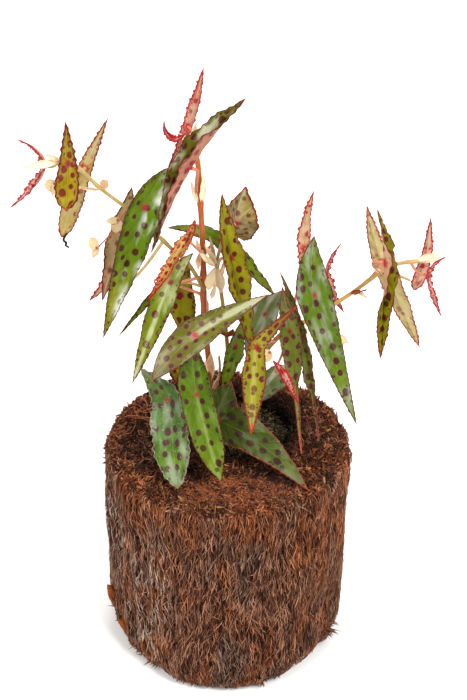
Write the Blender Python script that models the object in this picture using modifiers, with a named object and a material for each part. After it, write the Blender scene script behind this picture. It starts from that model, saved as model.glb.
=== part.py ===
"""Begonia plant with narrow, spotted, two-pointed leaves, growing in a block of tree-fern root fibre.

Metres, +Z up. The origin is the centre of the block's flat underside. Tables of places are in
millimetres, seen with +X to the right, -Y to the front and +Z up.
"""
import math

import bmesh
import bpy
from mathutils import Vector, noise

MM = 0.001
CLEARANCE = 0.3             # gap between pieces that touch
OBJECT_NAME = "potted_begonia"

# The block of tree-fern root fibre.
POT_RADIUS = 60.5
POT_HEIGHT = 112.0
POT_STEPS = 72
SIDE_ROWS = 6
SIDE_TAPER = 1.5            # how much narrower the side is below
SHOULDER = 105.0            # where the side ends and the worn upper edge begins
FOOT = 9.0                  # where the side ends and the worn lower edge begins
FOOT_RADIUS = 51.0          # the flat that it stands on
HOLE_CENTRE = (4.0, 12.0)
HOLE_RADIUS = 28.0
HOLE_FLOOR = 58.0
HOLE_STEPS = 36
SOIL_LEVEL = 104.0
MOSS_LUMP = 1.8
RIDGE_DEPTH = 2.6           # coarse vertical bundles of roots on the side
RIDGE_COUNT = 56
CRUMB_HEIGHT = 1.2          # broken root ends on the top
TOP_RISE = 2.0              # from the middle of the top to its back edge
FRONT_SPREAD = 6.0          # the foot reaches further out at the front
SIDE_LEAN = 1.0             # and a little to the left

# Stems.
ROOT_DEPTH = 88.0           # height at which the stems end in the soil
MAIN_RADIUS = 1.55
SECOND_RADIUS = 1.25
RIGHT_RADIUS = 1.2
BRANCH_RADIUS = 1.0
PETIOLE_RADIUS = 0.7
STUB_RADII = (0.8, 0.6)     # old stalks without a blade
NECK = 1.5                  # a leaf's stalk meets the blade squarely over this length
STEM_STATION = 8.0          # distance between the cross sections of a stem
STALK_STATION = 6.0
SOCKET_CLEARANCE = 0.55     # from a stem's corners to the corners of its hole in the soil
SOCKET_SIDES = 8
SOCKET_LENGTH = 60.0

# Leaves.
BLADE = 0.9                 # thickness
STATION = 5.5               # distance between the cross sections of a leaf
ACROSS = 4                  # strips across a leaf
SMALL_HALF = 3.0            # leaves narrower than this have two strips
WAVE_LENGTH = 15.0          # of the waves along a leaf's margin
WAVE_HEIGHT = 0.9
FULL_WAVE_HALF = 4.5        # leaves narrower than this wave less
TWIST_RUN = 2.0             # a twisted leaf has turned fully halfway to its head
PAPER = 0.8                 # thickness of the tepals and the papery scales

MAIN_ROUTE = [(-7, 4, ROOT_DEPTH), (-7, 4, 112), (-8, 5, 134), (-9, 5, 153), (-11, 6, 179), (-11, 6, 207),
              (-12, 6, 237), (-13, 6, 256), (-16, 5, 267)]
LEFT_ROUTE = [(-10.5, 5.5, 191), (-18, 2, 207), (-24, 0, 214), (-30, -4, 223), (-43, -7, 238), (-55, -8, 249),
              (-66, -9, 261), (-73, -8, 262)]
SECOND_ROUTE = [(-1, 10, ROOT_DEPTH), (-1, 10, 113), (1, 9, 136), (0, 8, 159), (-2, 7, 182), (-5, 5, 206)]
RIGHT_ROUTE = [(8, 13, ROOT_DEPTH), (8, 13, 113), (11, 10, 135), (17, 4, 155), (25, -1, 170), (38, 3, 176),
               (48, 3, 183), (59, 2, 192), (72, 1, 204), (80, 0, 208), (88, 0, 209)]

# Each leaf: its two tips (tail, head) and the place between them where its stalk joins (heart), in
# millimetres; half its width; the way its upper side faces; how far each half folds up from the
# midrib, in degrees; and the point of its stem that it grows from. Optional: how full the two ends
# are (tail_full, head_full; 1 tapers straight), how far past the heart it is widest (a part of the
# way to the head), where the broad part ends and how wide its drawn-out tip is (body_end, drip),
# how far it turns about its midrib towards the head, in degrees (twist), how strongly the midrib
# runs on through the heart (sweep), and the points that pull the midrib aside between heart and
# head (head_pull) and the stalk near its stem (stalk_pull).
MAIN_LEAVES = {
    "main_leaf_01": dict(tail=(-26, 2, 255), heart=(-17, 9, 271), head=(-10, 10, 298), half=2.8,
                         face=(-0.3, 0.9, 0.2), fold=25, root=(-15, 5, 264)),
    "main_leaf_02": dict(tail=(-27, -4, 279), heart=(-24, -1, 270), head=(-18, -5, 274), half=1.1,
                         face=(-0.5, -0.6, 0.6), fold=10, root=(-15.5, 5, 266)),
    "main_leaf_03": dict(tail=(-34, -9.5, 218.5), heart=(-15.5, -8, 259), head=(8, -5, 290), half=8.8,
                         face=(-0.8, -0.35, 0.45), fold=61, root=(-12, 6, 237),
                         stalk_pull=(-17, 3, 247)),
    "main_leaf_04": dict(tail=(-14, -14, 237), heart=(-17, -18, 229), head=(-34, -40, 211), half=3.5,
                         face=(-0.5, -0.7, 0.6), fold=35, root=(-11, 6, 211)),
    "main_leaf_05": dict(tail=(-15, -7, 217), heart=(-25.5, -15, 206), head=(-43, -34, 164), half=5.8,
                         face=(-0.2, -0.85, 0.45), fold=12, root=(-11, 6, 198)),
    "main_leaf_06": dict(tail=(-26, 9, 204), heart=(-32, 5, 193), head=(-51, 0, 169), half=2.6,
                         face=(0.7, -0.1, 0.7), fold=15, root=(-11, 6, 188)),
    "main_leaf_07": dict(tail=(-18, 15, 204), heart=(-22, 15, 183), head=(-17, 12, 157), half=6.6,
                         face=(0.1, -0.85, 0.45), fold=14, root=(-11, 6, 176),
                         stalk_pull=(-4, 27, 178)),
    "main_leaf_08": dict(tail=(-28, 24, 214), heart=(-4, 34, 202), head=(24, 34, 171), half=5.2,
                         face=(0.2, -0.5, 0.85), fold=12, root=(-11, 6, 197)),
    "main_leaf_09": dict(tail=(-33, -50, 176), heart=(-14, -36, 191), head=(19, -22, 204), half=7.6,
                         face=(0.0, -0.75, 0.65), fold=12, tail_full=2.2, head_full=1.1, widest=0.0,
                         root=(-10.5, 6, 172)),
    "main_leaf_10": dict(tail=(2, -5, 146), heart=(-4, -14, 130), head=(38, -45, 112), half=11.0,
                         face=(0.15, -0.6, 0.8), fold=8, tail_full=2.0, head_full=1.4, widest=0.0,
                         sweep=0.2, head_pull=(17, -28, 131), root=(-7.5, 5, 122)),
    "main_leaf_11": dict(tail=(-16, -13, 175), heart=(-14, -26, 153), head=(-3, -45, 118), half=7.8,
                         face=(-0.15, -0.85, 0.5), fold=12, head_full=4.2, widest=-0.1,
                         root=(-8, 5, 136), stalk_pull=(-18, -2, 136)),
    "main_leaf_12": dict(tail=(-41, -8, 156), heart=(-28, -17, 144), head=(-23, -45, 113), half=9.6,
                         face=(-0.4, -0.7, 0.6), fold=14, head_full=3.2, widest=0.3, sweep=0.15,
                         root=(-8, 5, 130)),
    "main_leaf_13": dict(tail=(-32, 5, 157), heart=(-26, 4, 149), head=(-22, 2, 138), half=3.8,
                         face=(0.2, -0.8, 0.5), fold=30, root=(-8, 5, 142), stalk_pull=(-11, 17, 142)),
}
LEFT_LEAVES = {
    "left_leaf_01": dict(tail=(-69, -6, 280), heart=(-68, -15, 264), head=(-69, -25, 247), half=5.0,
                         face=(0.05, -0.85, 0.5), fold=12, tail_full=1.2, head_full=3.5, widest=0.45,
                         root=(-63, -9, 257)),
    "left_leaf_02": dict(tail=(-52, 10, 275), heart=(-63, 5, 253), head=(-75, 2, 220), half=4.4,
                         face=(0.2, 0.9, 0.1), fold=20, tail_full=1.3, head_full=5.0, widest=0.4,
                         sweep=0.2, head_pull=(-69, 4, 239), root=(-57, -8, 251)),
    "left_leaf_03": dict(tail=(-90, -8, 272), heart=(-79, -7, 259), head=(-95, -12, 242), half=2.8,
                         face=(-0.9, -0.35, 0.1), fold=40, root=(-73, -8, 262)),
    "left_leaf_04": dict(tail=(-25, -14, 262), heart=(-35.5, -20, 246), head=(-55, -34, 188), half=8.0,
                         face=(0.35, -0.78, 0.5), fold=20, widest=0.1, root=(-34, -5, 228)),
    "left_leaf_05": dict(tail=(-42.5, 5, 244), heart=(-47.5, 3, 223), head=(-57.5, -7, 192), half=6.0,
                         face=(-0.3, 0.85, 0.3), fold=15, root=(-40, -6, 235)),
    "left_leaf_06": dict(tail=(-40, 16, 205), heart=(-52, 13, 194), head=(-65, 8, 184), half=3.4,
                         face=(0.2, 0.8, 0.5), fold=20, root=(-28, -3, 221)),
}
SECOND_LEAVES = {
    "second_leaf_01": dict(tail=(-2, 4, 241), heart=(1.5, -5, 213), head=(12.5, -10, 166), half=7.4,
                           face=(0.6, -0.65, 0.45), fold=28, root=(-4, 5, 201)),
    "second_leaf_02": dict(tail=(9, 20, 237), heart=(3.5, 14, 221), head=(7, 32, 204), half=11.5,
                           face=(0.57, 0.7, 0.4), fold=35, widest=0.0, root=(-4, 5, 205)),
    "second_leaf_03": dict(tail=(8, 2, 178), heart=(4, 1, 163), head=(-3, 1, 134), half=4.5,
                           face=(0.3, -0.85, 0.4), fold=15, root=(1, 8.5, 146)),
    "second_leaf_04": dict(tail=(27, 19, 183), heart=(18, 17, 171), head=(9, 13, 150), half=7.0,
                           face=(0.2, -0.6, 0.75), fold=12, root=(1, 8.5, 152),
                           stalk_pull=(2, 24, 156)),
}
RIGHT_LEAVES = {
    "right_leaf_01": dict(tail=(39, -10, 227), heart=(39, -23, 204), head=(59, -44, 148), half=8.2,
                          face=(0.1, -0.85, 0.45), fold=10, head_full=1.25, widest=0.0,
                          root=(43, 3.2, 179)),
    "right_leaf_02": dict(tail=(39, 7, 241), heart=(36, 4, 213), head=(45, 0, 184), half=3.7,
                          face=(-0.3, 0.85, 0.2), fold=25, root=(30, 0.5, 172), stalk_pull=(30, 8, 190)),
    "right_leaf_03": dict(tail=(53, 11, 212), heart=(46, 9, 197), head=(56, 14, 174), half=2.8,
                          face=(0.9, -0.4, 0.1), fold=38, root=(43, 3.3, 179)),
    "right_leaf_04": dict(tail=(64, 13, 231), heart=(72, 11, 203), head=(92, 5, 160), half=4.8,
                          face=(0.2, 0.85, -0.1), fold=18, head_full=2.4, root=(66, 1.5, 198)),
    "right_leaf_05": dict(tail=(67, -6, 238), heart=(71, -9, 213), head=(71, -16, 166), half=6.0,
                          face=(0.9, -0.43, 0.1), fold=60, twist=60, root=(70, 1, 202)),
    "right_leaf_06": dict(tail=(93, 9, 227), heart=(92, 8, 206), head=(87, 5, 191), half=2.9,
                          face=(0.3, 0.9, 0.1), fold=20, head_full=3.6, widest=0.5,
                          root=(85, 0, 208.8)),
    "right_leaf_07": dict(tail=(99, -6, 214), heart=(91, -7, 205), head=(99, -9, 185), half=2.2,
                          face=(0.8, -0.5, 0.2), fold=30, root=(84, 0, 208.5)),
    "right_leaf_08": dict(tail=(32, -29, 203), heart=(13.5, -38, 186), head=(11, -47, 145), half=5.6,
                          face=(-0.1, -0.85, 0.5), fold=12, tail_full=0.95, widest=0.3, sweep=0.12,
                          root=(23, 0, 166)),
    "right_leaf_09": dict(tail=(25, -8, 200), heart=(29, -14, 180), head=(35, -30, 122), half=4.9,
                          face=(-0.2, -0.85, 0.3), fold=12, head_full=3.0, widest=0.02, body_end=0.45,
                          drip=0.34, root=(27, -0.5, 171)),
    "right_leaf_10": dict(tail=(24, -5, 206), heart=(35, -7, 173), head=(44, -15, 119), half=3.6,
                          face=(-0.6, -0.7, 0.2), fold=15, head_full=3.0, body_end=0.55, drip=0.42,
                          root=(34, 1.5, 174)),
    "right_leaf_11": dict(tail=(21, -23, 170), heart=(25, -25, 165), head=(33, -28, 150), half=2.0,
                          face=(0.6, -0.7, 0.4), fold=30, root=(26, -1, 170.5),
                          stalk_pull=(30, -12, 168)),
    "right_leaf_12": dict(tail=(34, 17, 137), heart=(26, 14, 138), head=(14, 1, 130), half=6.5,
                          face=(0.0, -0.4, 0.9), fold=10, root=(10, 11, 128), stalk_pull=(15, 22, 122)),
}

# Papery scales at the joints of the stems: from the stem to the tip, half width, way they face.
MAIN_SCALES = [
    ((-12, 6, 236), (-14, 3, 250), 1.7, (-0.6, -0.8, 0.1)),
    ((-12, 6, 236), (-8.5, 3.5, 251), 1.8, (0.7, -0.7, 0.1)),
    ((-15.5, 5, 265), (-21, 0, 272), 1.6, (-0.4, -0.8, 0.5)),
    ((-11, 6, 212), (-3, -2, 208), 1.9, (0.4, -0.8, 0.5)),
    ((-11, 6, 212), (-4, 0, 221), 1.7, (0.6, -0.7, 0.2)),
    ((-11, 6, 211), (-17, -1, 207), 1.7, (-0.5, -0.8, 0.3)),
    ((-9, 5, 150), (-5.5, 1, 164), 2.0, (0.5, -0.85, 0.1)),
    ((-8.5, 5, 142), (-12, 0.5, 156), 1.9, (-0.5, -0.85, 0.1)),
    ((-8, 5, 134), (-4, 1, 146), 1.9, (0.5, -0.85, 0.1)),
]
LEFT_SCALES = [
    ((-55, -8, 249), (-57, -11, 256), 1.5, (-0.3, -0.9, 0.3)),
    ((-55, -8, 249), (-52, -10, 245), 1.2, (0.3, -0.9, -0.3)),
    ((-72, -8, 262), (-78, -13, 268), 1.5, (-0.2, -0.9, 0.4)),
    ((-72, -8, 262), (-86, -17, 261), 1.7, (-0.1, -0.9, 0.4)),
    ((-19, 1.6, 208), (-20, -2, 214), 1.4, (-0.5, -0.8, 0.2)),
]
SECOND_SCALES = [
    ((-4, 5, 204), (-7.5, 1.5, 190), 2.0, (-0.5, -0.85, 0.1)),
    ((-4, 5, 204), (0, 2, 192), 2.0, (0.6, -0.8, 0.1)),
    ((0, 8, 164), (4, 5, 172), 1.5, (0.5, -0.8, 0.2)),
]
RIGHT_SCALES = [
    ((60, 2, 193), (66, -2, 191), 1.2, (0.3, -0.9, 0.2)),
    ((86, 0, 209), (97, -3, 215), 1.6, (0.0, -0.9, 0.4)),
    ((86, 0, 209), (100, 3, 209), 1.5, (0.0, -0.9, 0.4)),
    ((71, 1, 203), (67, -3, 207), 1.3, (-0.3, -0.9, 0.2)),
]

# Old leaf stalks that have lost their blades: their points, from the stem.
MAIN_STUBS = [
    [(-11, 6, 192), (-17, 1, 197), (-22, -2, 199)],
    [(-8.5, 5, 146), (-3.5, 3, 144), (-3, 2.5, 149), (-3.2, 2.5, 155)],
]
RIGHT_STUBS = [
    [(73, 1, 204.5), (79, -3, 203), (84, -4, 201)],
]

# Flowers: the middle of the bloom, the point of the stem from which its stalk comes, the way it
# faces, and the way each tepal points, in degrees from straight down towards -X.
FLOWERS = {
    "flower_01": dict(centre=(-48, -9, 234), root=(-41, -7, 236.5), face=(-0.2, -0.8, 0.6), turns=(5, 80)),
    "flower_02": dict(centre=(-58, -6, 219), root=(-44, -7, 239), face=(-0.5, -0.8, 0.3), turns=(20, 130)),
    "flower_03": dict(centre=(-74, -13, 254), root=(-70, -8, 262), face=(-0.4, -0.9, 0.2), turns=(60, 10)),
    "flower_04": dict(centre=(52, -6, 172.5), root=(50, 3, 184.5), face=(0.1, -0.9, 0.4), turns=(3, -52)),
    "flower_05": dict(centre=(20, -15, 169), root=(19.6, 1.3, 160), face=(-0.2, -0.8, 0.6), turns=(40, 85)),
}
TEPAL_LENGTH = 5.6
TEPAL_HALF = 2.7
TEPAL_LAYER = 0.5           # each tepal lies this far in front of the one before
FLOWER_STALK_RADIUS = 0.45
FLOWER_STAND_OFF = 2.0      # from the middle of the stem to the start of a flower's stalk


def clear_scene():
    for thing in list(bpy.data.objects):
        bpy.data.objects.remove(thing, do_unlink=True)


def make_collection(name):
    collection = bpy.data.collections.new(name)
    bpy.context.scene.collection.children.link(collection)
    return collection


def make_material(name, colour, roughness):
    material = bpy.data.materials.new(name)
    material.use_nodes = True
    shader = material.node_tree.nodes["Principled BSDF"]
    shader.inputs["Base Color"].default_value = (*colour, 1.0)
    shader.inputs["Roughness"].default_value = roughness
    shader.inputs["Metallic"].default_value = 0.0
    return material


def add_object(name, mesh, collection, material=None):
    thing = bpy.data.objects.new(name, mesh)
    collection.objects.link(thing)
    if material:
        mesh.materials.clear()
        mesh.materials.append(material)
    return thing


def frozen_mesh(thing):
    """The mesh of an object with its modifiers or curve bevel worked in, welded."""
    depsgraph = bpy.context.evaluated_depsgraph_get()
    mesh = bpy.data.meshes.new_from_object(thing.evaluated_get(depsgraph))
    shape = bmesh.new()
    shape.from_mesh(mesh)
    bmesh.ops.remove_doubles(shape, verts=shape.verts, dist=0.00002)
    bmesh.ops.recalc_face_normals(shape, faces=shape.faces)
    shape.to_mesh(mesh)
    shape.free()
    return mesh


def freeze(thing):
    mesh = frozen_mesh(thing)
    thing.modifiers.clear()
    thing.data = mesh


def smooth_route(points, gap):
    """Points about one gap apart on a smooth curve through the given ones."""
    knots = [Vector(point) for point in points]
    ends = [2 * knots[0] - knots[1]] + knots + [2 * knots[-1] - knots[-2]]
    route = [knots[0]]
    for index in range(1, len(ends) - 2):
        before, start, stop, after = ends[index - 1:index + 3]
        count = max(1, round((stop - start).length / gap))
        for step in range(1, count + 1):
            t = step / count
            route.append(0.5 * (2 * start + (stop - before) * t
                                + (2 * before - 5 * start + 4 * stop - after) * t ** 2
                                + (3 * start - before - 3 * stop + after) * t ** 3))
    return route


def make_tube(name, route, radii, collection):
    """A round stalk along the route, with a radius at each end."""
    curve = bpy.data.curves.new(name, "CURVE")
    curve.dimensions = "3D"
    curve.bevel_depth = MM
    curve.bevel_resolution = 2
    curve.use_fill_caps = True
    spline = curve.splines.new("POLY")
    spline.points.add(len(route) - 1)
    for index, place in enumerate(route):
        spline.points[index].co = (*(place * MM), 1.0)
        part = index / (len(route) - 1)
        spline.points[index].radius = radii[0] + (radii[1] - radii[0]) * part
    guide = bpy.data.objects.new(name, curve)
    collection.objects.link(guide)
    mesh = frozen_mesh(guide)
    bpy.data.objects.remove(guide)
    return add_object(name, mesh, collection)


def blade_width(part, heart_part, leaf):
    """Half the width of a leaf at a part of its length: pointed at both ends, or drawn out to a drip."""
    widest = heart_part + leaf.get("widest", 0.14) * (1 - heart_part)
    if part < widest:
        return leaf["half"] * (1 - ((widest - part) / widest) ** leaf.get("tail_full", 1.6))
    past = (part - widest) / (1 - widest)
    body = 1 - (past / leaf.get("body_end", 1.0)) ** leaf.get("head_full", 1.5)
    return leaf["half"] * max(body, leaf.get("drip", 0.0) * math.sqrt(1 - min(1.0, past)))


def midrib(leaf, station):
    """Points along the midrib with a point at the heart, and the index of that point."""
    tail, heart, head = (Vector(leaf[key]) for key in ("tail", "heart", "head"))
    shorter = min((heart - tail).length, (head - heart).length)
    lean = (head - tail).normalized() * shorter * leaf.get("sweep", 0.45)
    head_pull = Vector(leaf["head_pull"]) if "head_pull" in leaf else heart + lean
    points = []
    for start, pull, stop in ((tail, heart - lean, heart), (heart, head_pull, head)):
        count = max(3, round((stop - start).length / station))
        for step in range(count):
            t = step / count
            points.append((1 - t) ** 2 * start + 2 * t * (1 - t) * pull + t ** 2 * stop)
        if stop is heart:
            heart_index = count
    points.append(head)
    return points, heart_index


def blade_frame(points, index, face):
    """Directions along, across and out of the upper side of a leaf at one of its midrib's points."""
    before, after = points[max(index - 1, 0)], points[min(index + 1, len(points) - 1)]
    along = (after - before).normalized()
    across = Vector(face).cross(along).normalized()
    return along, across, along.cross(across)


def make_blade(name, leaf, thickness, collection, material=None, strips=ACROSS, wave=WAVE_HEIGHT):
    """A thin leaf: a grid laid along its midrib, folded, waved at the margin, and thickened below."""
    points, heart_index = midrib(leaf, STATION)
    stations = len(points) - 1
    lengths = [0.0]
    for index in range(stations):
        lengths.append(lengths[-1] + (points[index + 1] - points[index]).length)
    heart_part = lengths[heart_index] / lengths[-1]
    shape = bmesh.new()
    bmesh.ops.create_grid(shape, x_segments=stations, y_segments=strips, size=1.0)
    fold = math.radians(leaf["fold"])
    for vert in shape.verts:
        index = round((vert.co.x + 1) / 2 * stations)
        side = vert.co.y
        part = lengths[index] / lengths[-1]
        half = max(0.0, blade_width(part, heart_part, leaf))
        bending = fold * min(1.0, half / leaf["half"] * 1.2)
        ripple = math.sin(2 * math.pi * lengths[index] / WAVE_LENGTH + 1.3 * side + leaf["half"])
        lift = wave * ripple * side * side * half / max(leaf["half"], FULL_WAVE_HALF)
        along, across, out = blade_frame(points, index, leaf["face"])
        turned = min(1.0, max(0.0, TWIST_RUN * (part - heart_part) / (1 - heart_part)))
        twist = math.radians(leaf.get("twist", 0)) * turned
        across, out = (across * math.cos(twist) + out * math.sin(twist),
                       out * math.cos(twist) - across * math.sin(twist))
        vert.co = (points[index] + across * (side * half * math.cos(bending))
                   + out * (abs(side) * half * math.sin(bending) + lift)) * MM
    bmesh.ops.remove_doubles(shape, verts=shape.verts, dist=0.00005)
    bmesh.ops.triangulate(shape, faces=shape.faces)
    mesh = bpy.data.meshes.new(name)
    shape.to_mesh(mesh)
    shape.free()
    blade = add_object(name, mesh, collection, material)
    solidify = blade.modifiers.new("thickness", "SOLIDIFY")
    solidify.thickness = thickness * MM
    solidify.offset = -1.0
    freeze(blade)
    if material:
        blade.data.materials.clear()
        blade.data.materials.append(material)
    return blade


def make_petiole(name, leaf, route, collection):
    """The stalk of a leaf, from its stem to just under the blade at the heart."""
    points, heart_index = midrib(leaf, STATION)
    out = blade_frame(points, heart_index, leaf["face"])[2]
    root = min(route, key=lambda place: (place - Vector(leaf["root"])).length)
    end = points[heart_index] - out * (BLADE + CLEARANCE)
    neck = end - out * NECK
    reach = (neck - root).length
    bend = neck - out * min(0.4 * reach, 12.0)
    start = Vector(leaf["stalk_pull"]) if "stalk_pull" in leaf else root.lerp(bend, 0.4)
    count = max(2, min(5, round(reach / STALK_STATION)))
    path = []
    for step in range(count + 1):
        t = step / count
        path.append((1 - t) ** 3 * root + 3 * t * (1 - t) ** 2 * start + 3 * t * t * (1 - t) * bend
                    + t ** 3 * neck)
    path.append(end)
    thin = min(PETIOLE_RADIUS, 0.14 * leaf["half"] + 0.2)
    return make_tube(name, path, (PETIOLE_RADIUS, thin), collection)


def make_scale(name, scale, collection):
    """A papery pointed scale whose foot is sunk in the stem."""
    foot, tip, half, face = scale
    foot, tip = Vector(foot), Vector(tip)
    heart = foot.lerp(tip, 0.35)
    leaf = dict(tail=foot, heart=heart, head=tip, half=half, face=face, fold=20)
    return make_blade(name, leaf, PAPER, collection, strips=2, wave=0.0)


def fuse(name, body, pieces, collection, material):
    """Join pieces that grow together into one body."""
    group = bpy.data.collections.new(name + "_pieces")
    bpy.context.scene.collection.children.link(group)
    for piece in pieces:
        group.objects.link(piece)
    union = body.modifiers.new("grown_together", "BOOLEAN")
    union.operation = "UNION"
    union.operand_type = "COLLECTION"
    union.collection = group
    union.solver = "EXACT"
    freeze(body)
    for piece in pieces:
        bpy.data.objects.remove(piece)
    bpy.data.collections.remove(group)
    body.name = name
    body.data.materials.clear()
    body.data.materials.append(material)
    return body


def make_stem(name, arms, stubs, collection, material):
    """A stem with its branches, leaf stalks and scales. Each arm: route, radii, leaves, scales."""
    pieces = []
    for number, (points, radii, leaves, scales) in enumerate(arms):
        route = smooth_route(points, STEM_STATION)
        pieces.append(make_tube(f"{name}_arm_{number}", route, radii, collection))
        for leaf_name, leaf in leaves.items():
            pieces.append(make_petiole(f"{leaf_name}_stalk", leaf, smooth_route(points, 1.0), collection))
        for index, scale in enumerate(scales):
            pieces.append(make_scale(f"{name}_scale_{number}_{index}", scale, collection))
    for index, points in enumerate(stubs):
        pieces.append(make_tube(f"{name}_stub_{index}", smooth_route(points, STALK_STATION), STUB_RADII,
                                collection))
    return fuse(name, pieces[0], pieces[1:], collection, material)


def make_flower(name, flower, collection, material):
    """A small bloom of two round tepals on a thin stalk that starts at the stem."""
    centre, root = Vector(flower["centre"]), Vector(flower["root"])
    toward = (root - centre).normalized()
    start = root - toward * FLOWER_STAND_OFF
    sag = start.lerp(centre, 0.5) + Vector((0, 0, -1.5))
    stalk = make_tube(name, smooth_route([start, sag, centre], STALK_STATION),
                      (FLOWER_STALK_RADIUS, FLOWER_STALK_RADIUS), collection)
    face = Vector(flower["face"]).normalized()
    sideways = face.cross(Vector((0, 0, 1))).normalized()
    downward = face.cross(sideways).normalized()
    pieces = []
    for index, turn in enumerate(math.radians(degrees) for degrees in flower["turns"]):
        way = (downward * math.cos(turn) + sideways * math.sin(turn)).normalized()
        foot = centre - way * 0.9 + face * (TEPAL_LAYER * index)
        tip = centre + way * TEPAL_LENGTH + face * (TEPAL_LAYER * index + 0.4)
        leaf = dict(tail=foot, heart=foot.lerp(tip, 0.4), head=tip, half=TEPAL_HALF, face=face, fold=12,
                    tail_full=2.2, head_full=2.6)
        pieces.append(make_blade(f"{name}_tepal_{index}", leaf, PAPER, collection, wave=0.0))
    return fuse(name, stalk, pieces, collection, material)


def turned(name, profile, steps, collection):
    """A body turned about Z from a profile of (radius, height) points."""
    mesh = bpy.data.meshes.new(name)
    verts = [(radius * MM, 0.0, height * MM) for radius, height in profile]
    mesh.from_pydata(verts, [(i, i + 1) for i in range(len(verts) - 1)], [])
    body = add_object(name, mesh, collection)
    screw = body.modifiers.new("turn", "SCREW")
    screw.steps = steps
    screw.render_steps = steps
    screw.use_merge_vertices = True
    screw.merge_threshold = 0.00001
    freeze(body)
    return body


def lower_spread(angle):
    """How much wider the block's foot is in each direction: most in front, least behind."""
    return FRONT_SPREAD * max(0.0, -math.sin(angle)) ** 5 - SIDE_LEAN * math.cos(angle)


def hole_lobes(angle):
    """The planting hole's rim is a slightly uneven round."""
    return 1 + 0.045 * math.sin(3 * angle + 0.5) + 0.03 * math.sin(5 * angle + 2.0)


def make_pot(collection, cutters, material):
    """The fibre block, with coarse ridges of roots on its side, a crumbly top and a planting hole."""
    profile = [(0, POT_HEIGHT), (24, POT_HEIGHT), (42, POT_HEIGHT), (53, POT_HEIGHT - 0.5),
               (POT_RADIUS - 2, POT_HEIGHT - 2.5), (POT_RADIUS - 0.3, SHOULDER)]
    for row in range(1, SIDE_ROWS + 1):
        part = row / SIDE_ROWS
        profile.append((POT_RADIUS - SIDE_TAPER * part, SHOULDER + (FOOT - SHOULDER) * part))
    profile += [(FOOT_RADIUS + 5, 3.5), (FOOT_RADIUS, 0), (0, 0)]
    pot = turned("pot", profile, POT_STEPS, collection)
    for vert in pot.data.vertices:
        place = vert.co
        radius, angle, height = math.hypot(place.x, place.y), math.atan2(place.y, place.x), place.z / MM
        if radius < FOOT_RADIUS * MM * 0.5:
            continue
        spread = lower_spread(angle) * (1 - height / POT_HEIGHT)
        bundle = Vector((math.cos(angle), math.sin(angle), 0)) * RIDGE_COUNT / 6
        ridge = noise.noise(bundle + Vector((0, 0, height / 50)))
        push = RIDGE_DEPTH * ridge if height > 0.01 else 0.0
        crumb = CRUMB_HEIGHT * noise.noise(place / MM / 7.0) if height > SHOULDER else 0.0
        crumb += TOP_RISE * place.y / MM / POT_RADIUS * height / POT_HEIGHT
        scale = 1 + (spread + push) * MM / radius
        vert.co = (place.x * scale, place.y * scale, place.z + crumb * MM)
    cutter = turned("planting_hole", [(0, POT_HEIGHT + 20), (HOLE_RADIUS, POT_HEIGHT + 20),
                                      (HOLE_RADIUS, HOLE_FLOOR), (0, HOLE_FLOOR)], HOLE_STEPS, cutters)
    shape_hole(cutter, 0.0)
    cutter.hide_render = True
    cutter.display_type = "WIRE"
    cut = pot.modifiers.new("planting_hole", "BOOLEAN")
    cut.operation = "DIFFERENCE"
    cut.object = cutter
    cut.solver = "EXACT"
    freeze(pot)
    pot.data.materials.clear()
    pot.data.materials.append(material)
    return pot


def shape_hole(body, inset):
    """Give a turned body the hole's uneven outline, less a clearance, and move it to the hole."""
    for vert in body.data.vertices:
        place = vert.co
        radius = math.hypot(place.x, place.y)
        if radius > 0:
            scale = hole_lobes(math.atan2(place.y, place.x)) - inset * MM / radius
            place.x *= scale
            place.y *= scale
        place.x += HOLE_CENTRE[0] * MM
        place.y += HOLE_CENTRE[1] * MM


def make_soil(collection, cutters, material, stems):
    """The filling of the planting hole, with lumps of moss on top and a plain hole for each stem."""
    rings = [(0, 1.5), (7, 1.0), (14, 1.5), (21, 0.5), (HOLE_RADIUS, -1.0)]
    profile = [(radius, SOIL_LEVEL + lift) for radius, lift in rings]
    profile += [(HOLE_RADIUS, 80), (HOLE_RADIUS, HOLE_FLOOR + CLEARANCE), (0, HOLE_FLOOR + CLEARANCE)]
    soil = turned("soil", profile, HOLE_STEPS, collection)
    for vert in soil.data.vertices:
        if vert.co.z > (SOIL_LEVEL - 2) * MM:
            vert.co.z += MOSS_LUMP * MM * noise.noise(vert.co / MM / 6.0 + Vector((3, 1, 4)))
    shape_hole(soil, CLEARANCE)
    for name, (points, radius) in stems.items():
        bpy.ops.mesh.primitive_cylinder_add(vertices=SOCKET_SIDES, radius=(radius + SOCKET_CLEARANCE) * MM,
                                            depth=SOCKET_LENGTH * MM)
        cutter = bpy.context.active_object
        cutter.name = f"{name}_socket"
        for owner in list(cutter.users_collection):
            owner.objects.unlink(cutter)
        cutters.objects.link(cutter)
        bottom = ROOT_DEPTH - 1
        cutter.location = (points[0][0] * MM, points[0][1] * MM, (bottom + SOCKET_LENGTH / 2) * MM)
        cutter.hide_render = True
        cutter.display_type = "WIRE"
        bpy.context.view_layer.update()
        cut = soil.modifiers.new(f"{name}_socket", "BOOLEAN")
        cut.operation = "DIFFERENCE"
        cut.object = cutter
        cut.solver = "EXACT"
    freeze(soil)
    soil.data.materials.clear()
    soil.data.materials.append(material)
    return soil


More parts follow.
